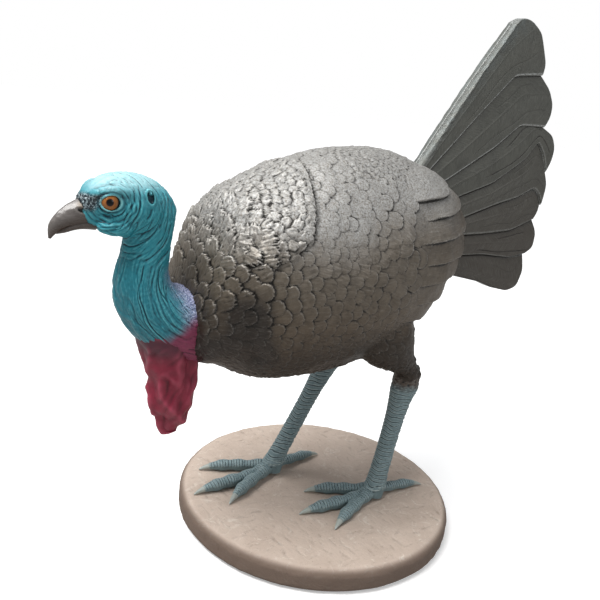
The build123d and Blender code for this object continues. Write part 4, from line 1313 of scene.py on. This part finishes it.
# The camera sees a white floor; the light that bounces off it is that of a darker one.
pale = Paint("pale_floor", Roughness=0.9, Specular_IOR_Level=0.1, Emission_Color=(1, 1, 1, 1))
seen_floor = pale.node("ShaderNodeLightPath").outputs["Is Camera Ray"]
sheet_white = pale.blend(pale.grain(400), (0.84, 0.84, 0.84), (0.88, 0.88, 0.88))
floor.data.materials.append(pale.use(
    Base_Color=pale.blend(seen_floor, (0.42, 0.41, 0.40), sheet_white),
    Emission_Strength=pale.times(seen_floor, 0.34)))


def aim(lamp, place, target):
    """Stands a lamp at a place and turns it to a target, in metres."""
    holder = show(lamp.name, lamp)
    holder.location = place
    holder.rotation_euler = (Vector(target) - Vector(place)).to_track_quat("-Z", "Y").to_euler()


def soft_light(name, place, size, power, colour):
    """A soft box turned to the middle of the decoy."""
    lamp = bpy.data.lights.new(name, "AREA")
    lamp.shape, lamp.size, lamp.size_y = "RECTANGLE", size[0], size[1]
    lamp.energy, lamp.color = power, colour
    aim(lamp, place, (0, 0, 0.33))


soft_light("key", (0.1, -1.1, 1.9), (1.0, 0.8), 32, (1.0, 0.99, 0.97))
soft_light("fill", (2.0, 0.9, 1.2), (1.2, 1.2), 9, (0.97, 0.98, 1.0))
sky = bpy.data.lights.new("sky", "SUN")
sky.energy, sky.angle = 1.9, math.radians(50)
aim(sky, (-0.5, -0.7, 2.4), (0, 0, 0.3))

# The sky lights the decoy softly, and the camera sees it as plain white.
world = bpy.data.worlds.new("studio")
world.use_nodes = True
nodes, links = world.node_tree.nodes, world.node_tree.links
light = nodes["Background"]
light.inputs["Color"].default_value, light.inputs["Strength"].default_value = (0.97, 0.98, 1.0, 1), 0.34
sheet = nodes.new("ShaderNodeBackground")
sheet.inputs["Color"].default_value, sheet.inputs["Strength"].default_value = (1, 1, 1, 1), 1.0
either = nodes.new("ShaderNodeMixShader")
links.new(nodes.new("ShaderNodeLightPath").outputs["Is Camera Ray"], either.inputs[0])
links.new(light.outputs[0], either.inputs[1])
links.new(sheet.outputs[0], either.inputs[2])
links.new(either.outputs[0], nodes["World Output"].inputs["Surface"])
bpy.context.scene.world = world
bpy.context.scene.view_settings.view_transform = "Standard"

# The camera's turn about Z, its height angle and its roll, in degrees, and its place in metres
AZIMUTH, ELEVATION, ROLL = 52.0, 16.74, 6.91
CAMERA_PLACE = (0.6119, -0.5386, 0.5233)
a, e, r = (math.radians(v) for v in (AZIMUTH, ELEVATION, ROLL))
back = Vector((math.sin(a) * math.cos(e), -math.cos(a) * math.cos(e), math.sin(e)))
level = Vector((math.cos(a), math.sin(a), 0))
upright = back.cross(level)
across = math.cos(r) * level + math.sin(r) * upright
upright = math.cos(r) * upright - math.sin(r) * level
lens = bpy.data.cameras.new("camera")
lens.lens, lens.sensor_width, lens.clip_start = 42, 36, 0.05
camera = show("camera", lens)
turn = Matrix((across, upright, back)).transposed().to_4x4()
camera.matrix_world = Matrix.Translation(CAMERA_PLACE) @ turn
bpy.context.scene.camera = camera

bpy.context.view_layer.update()
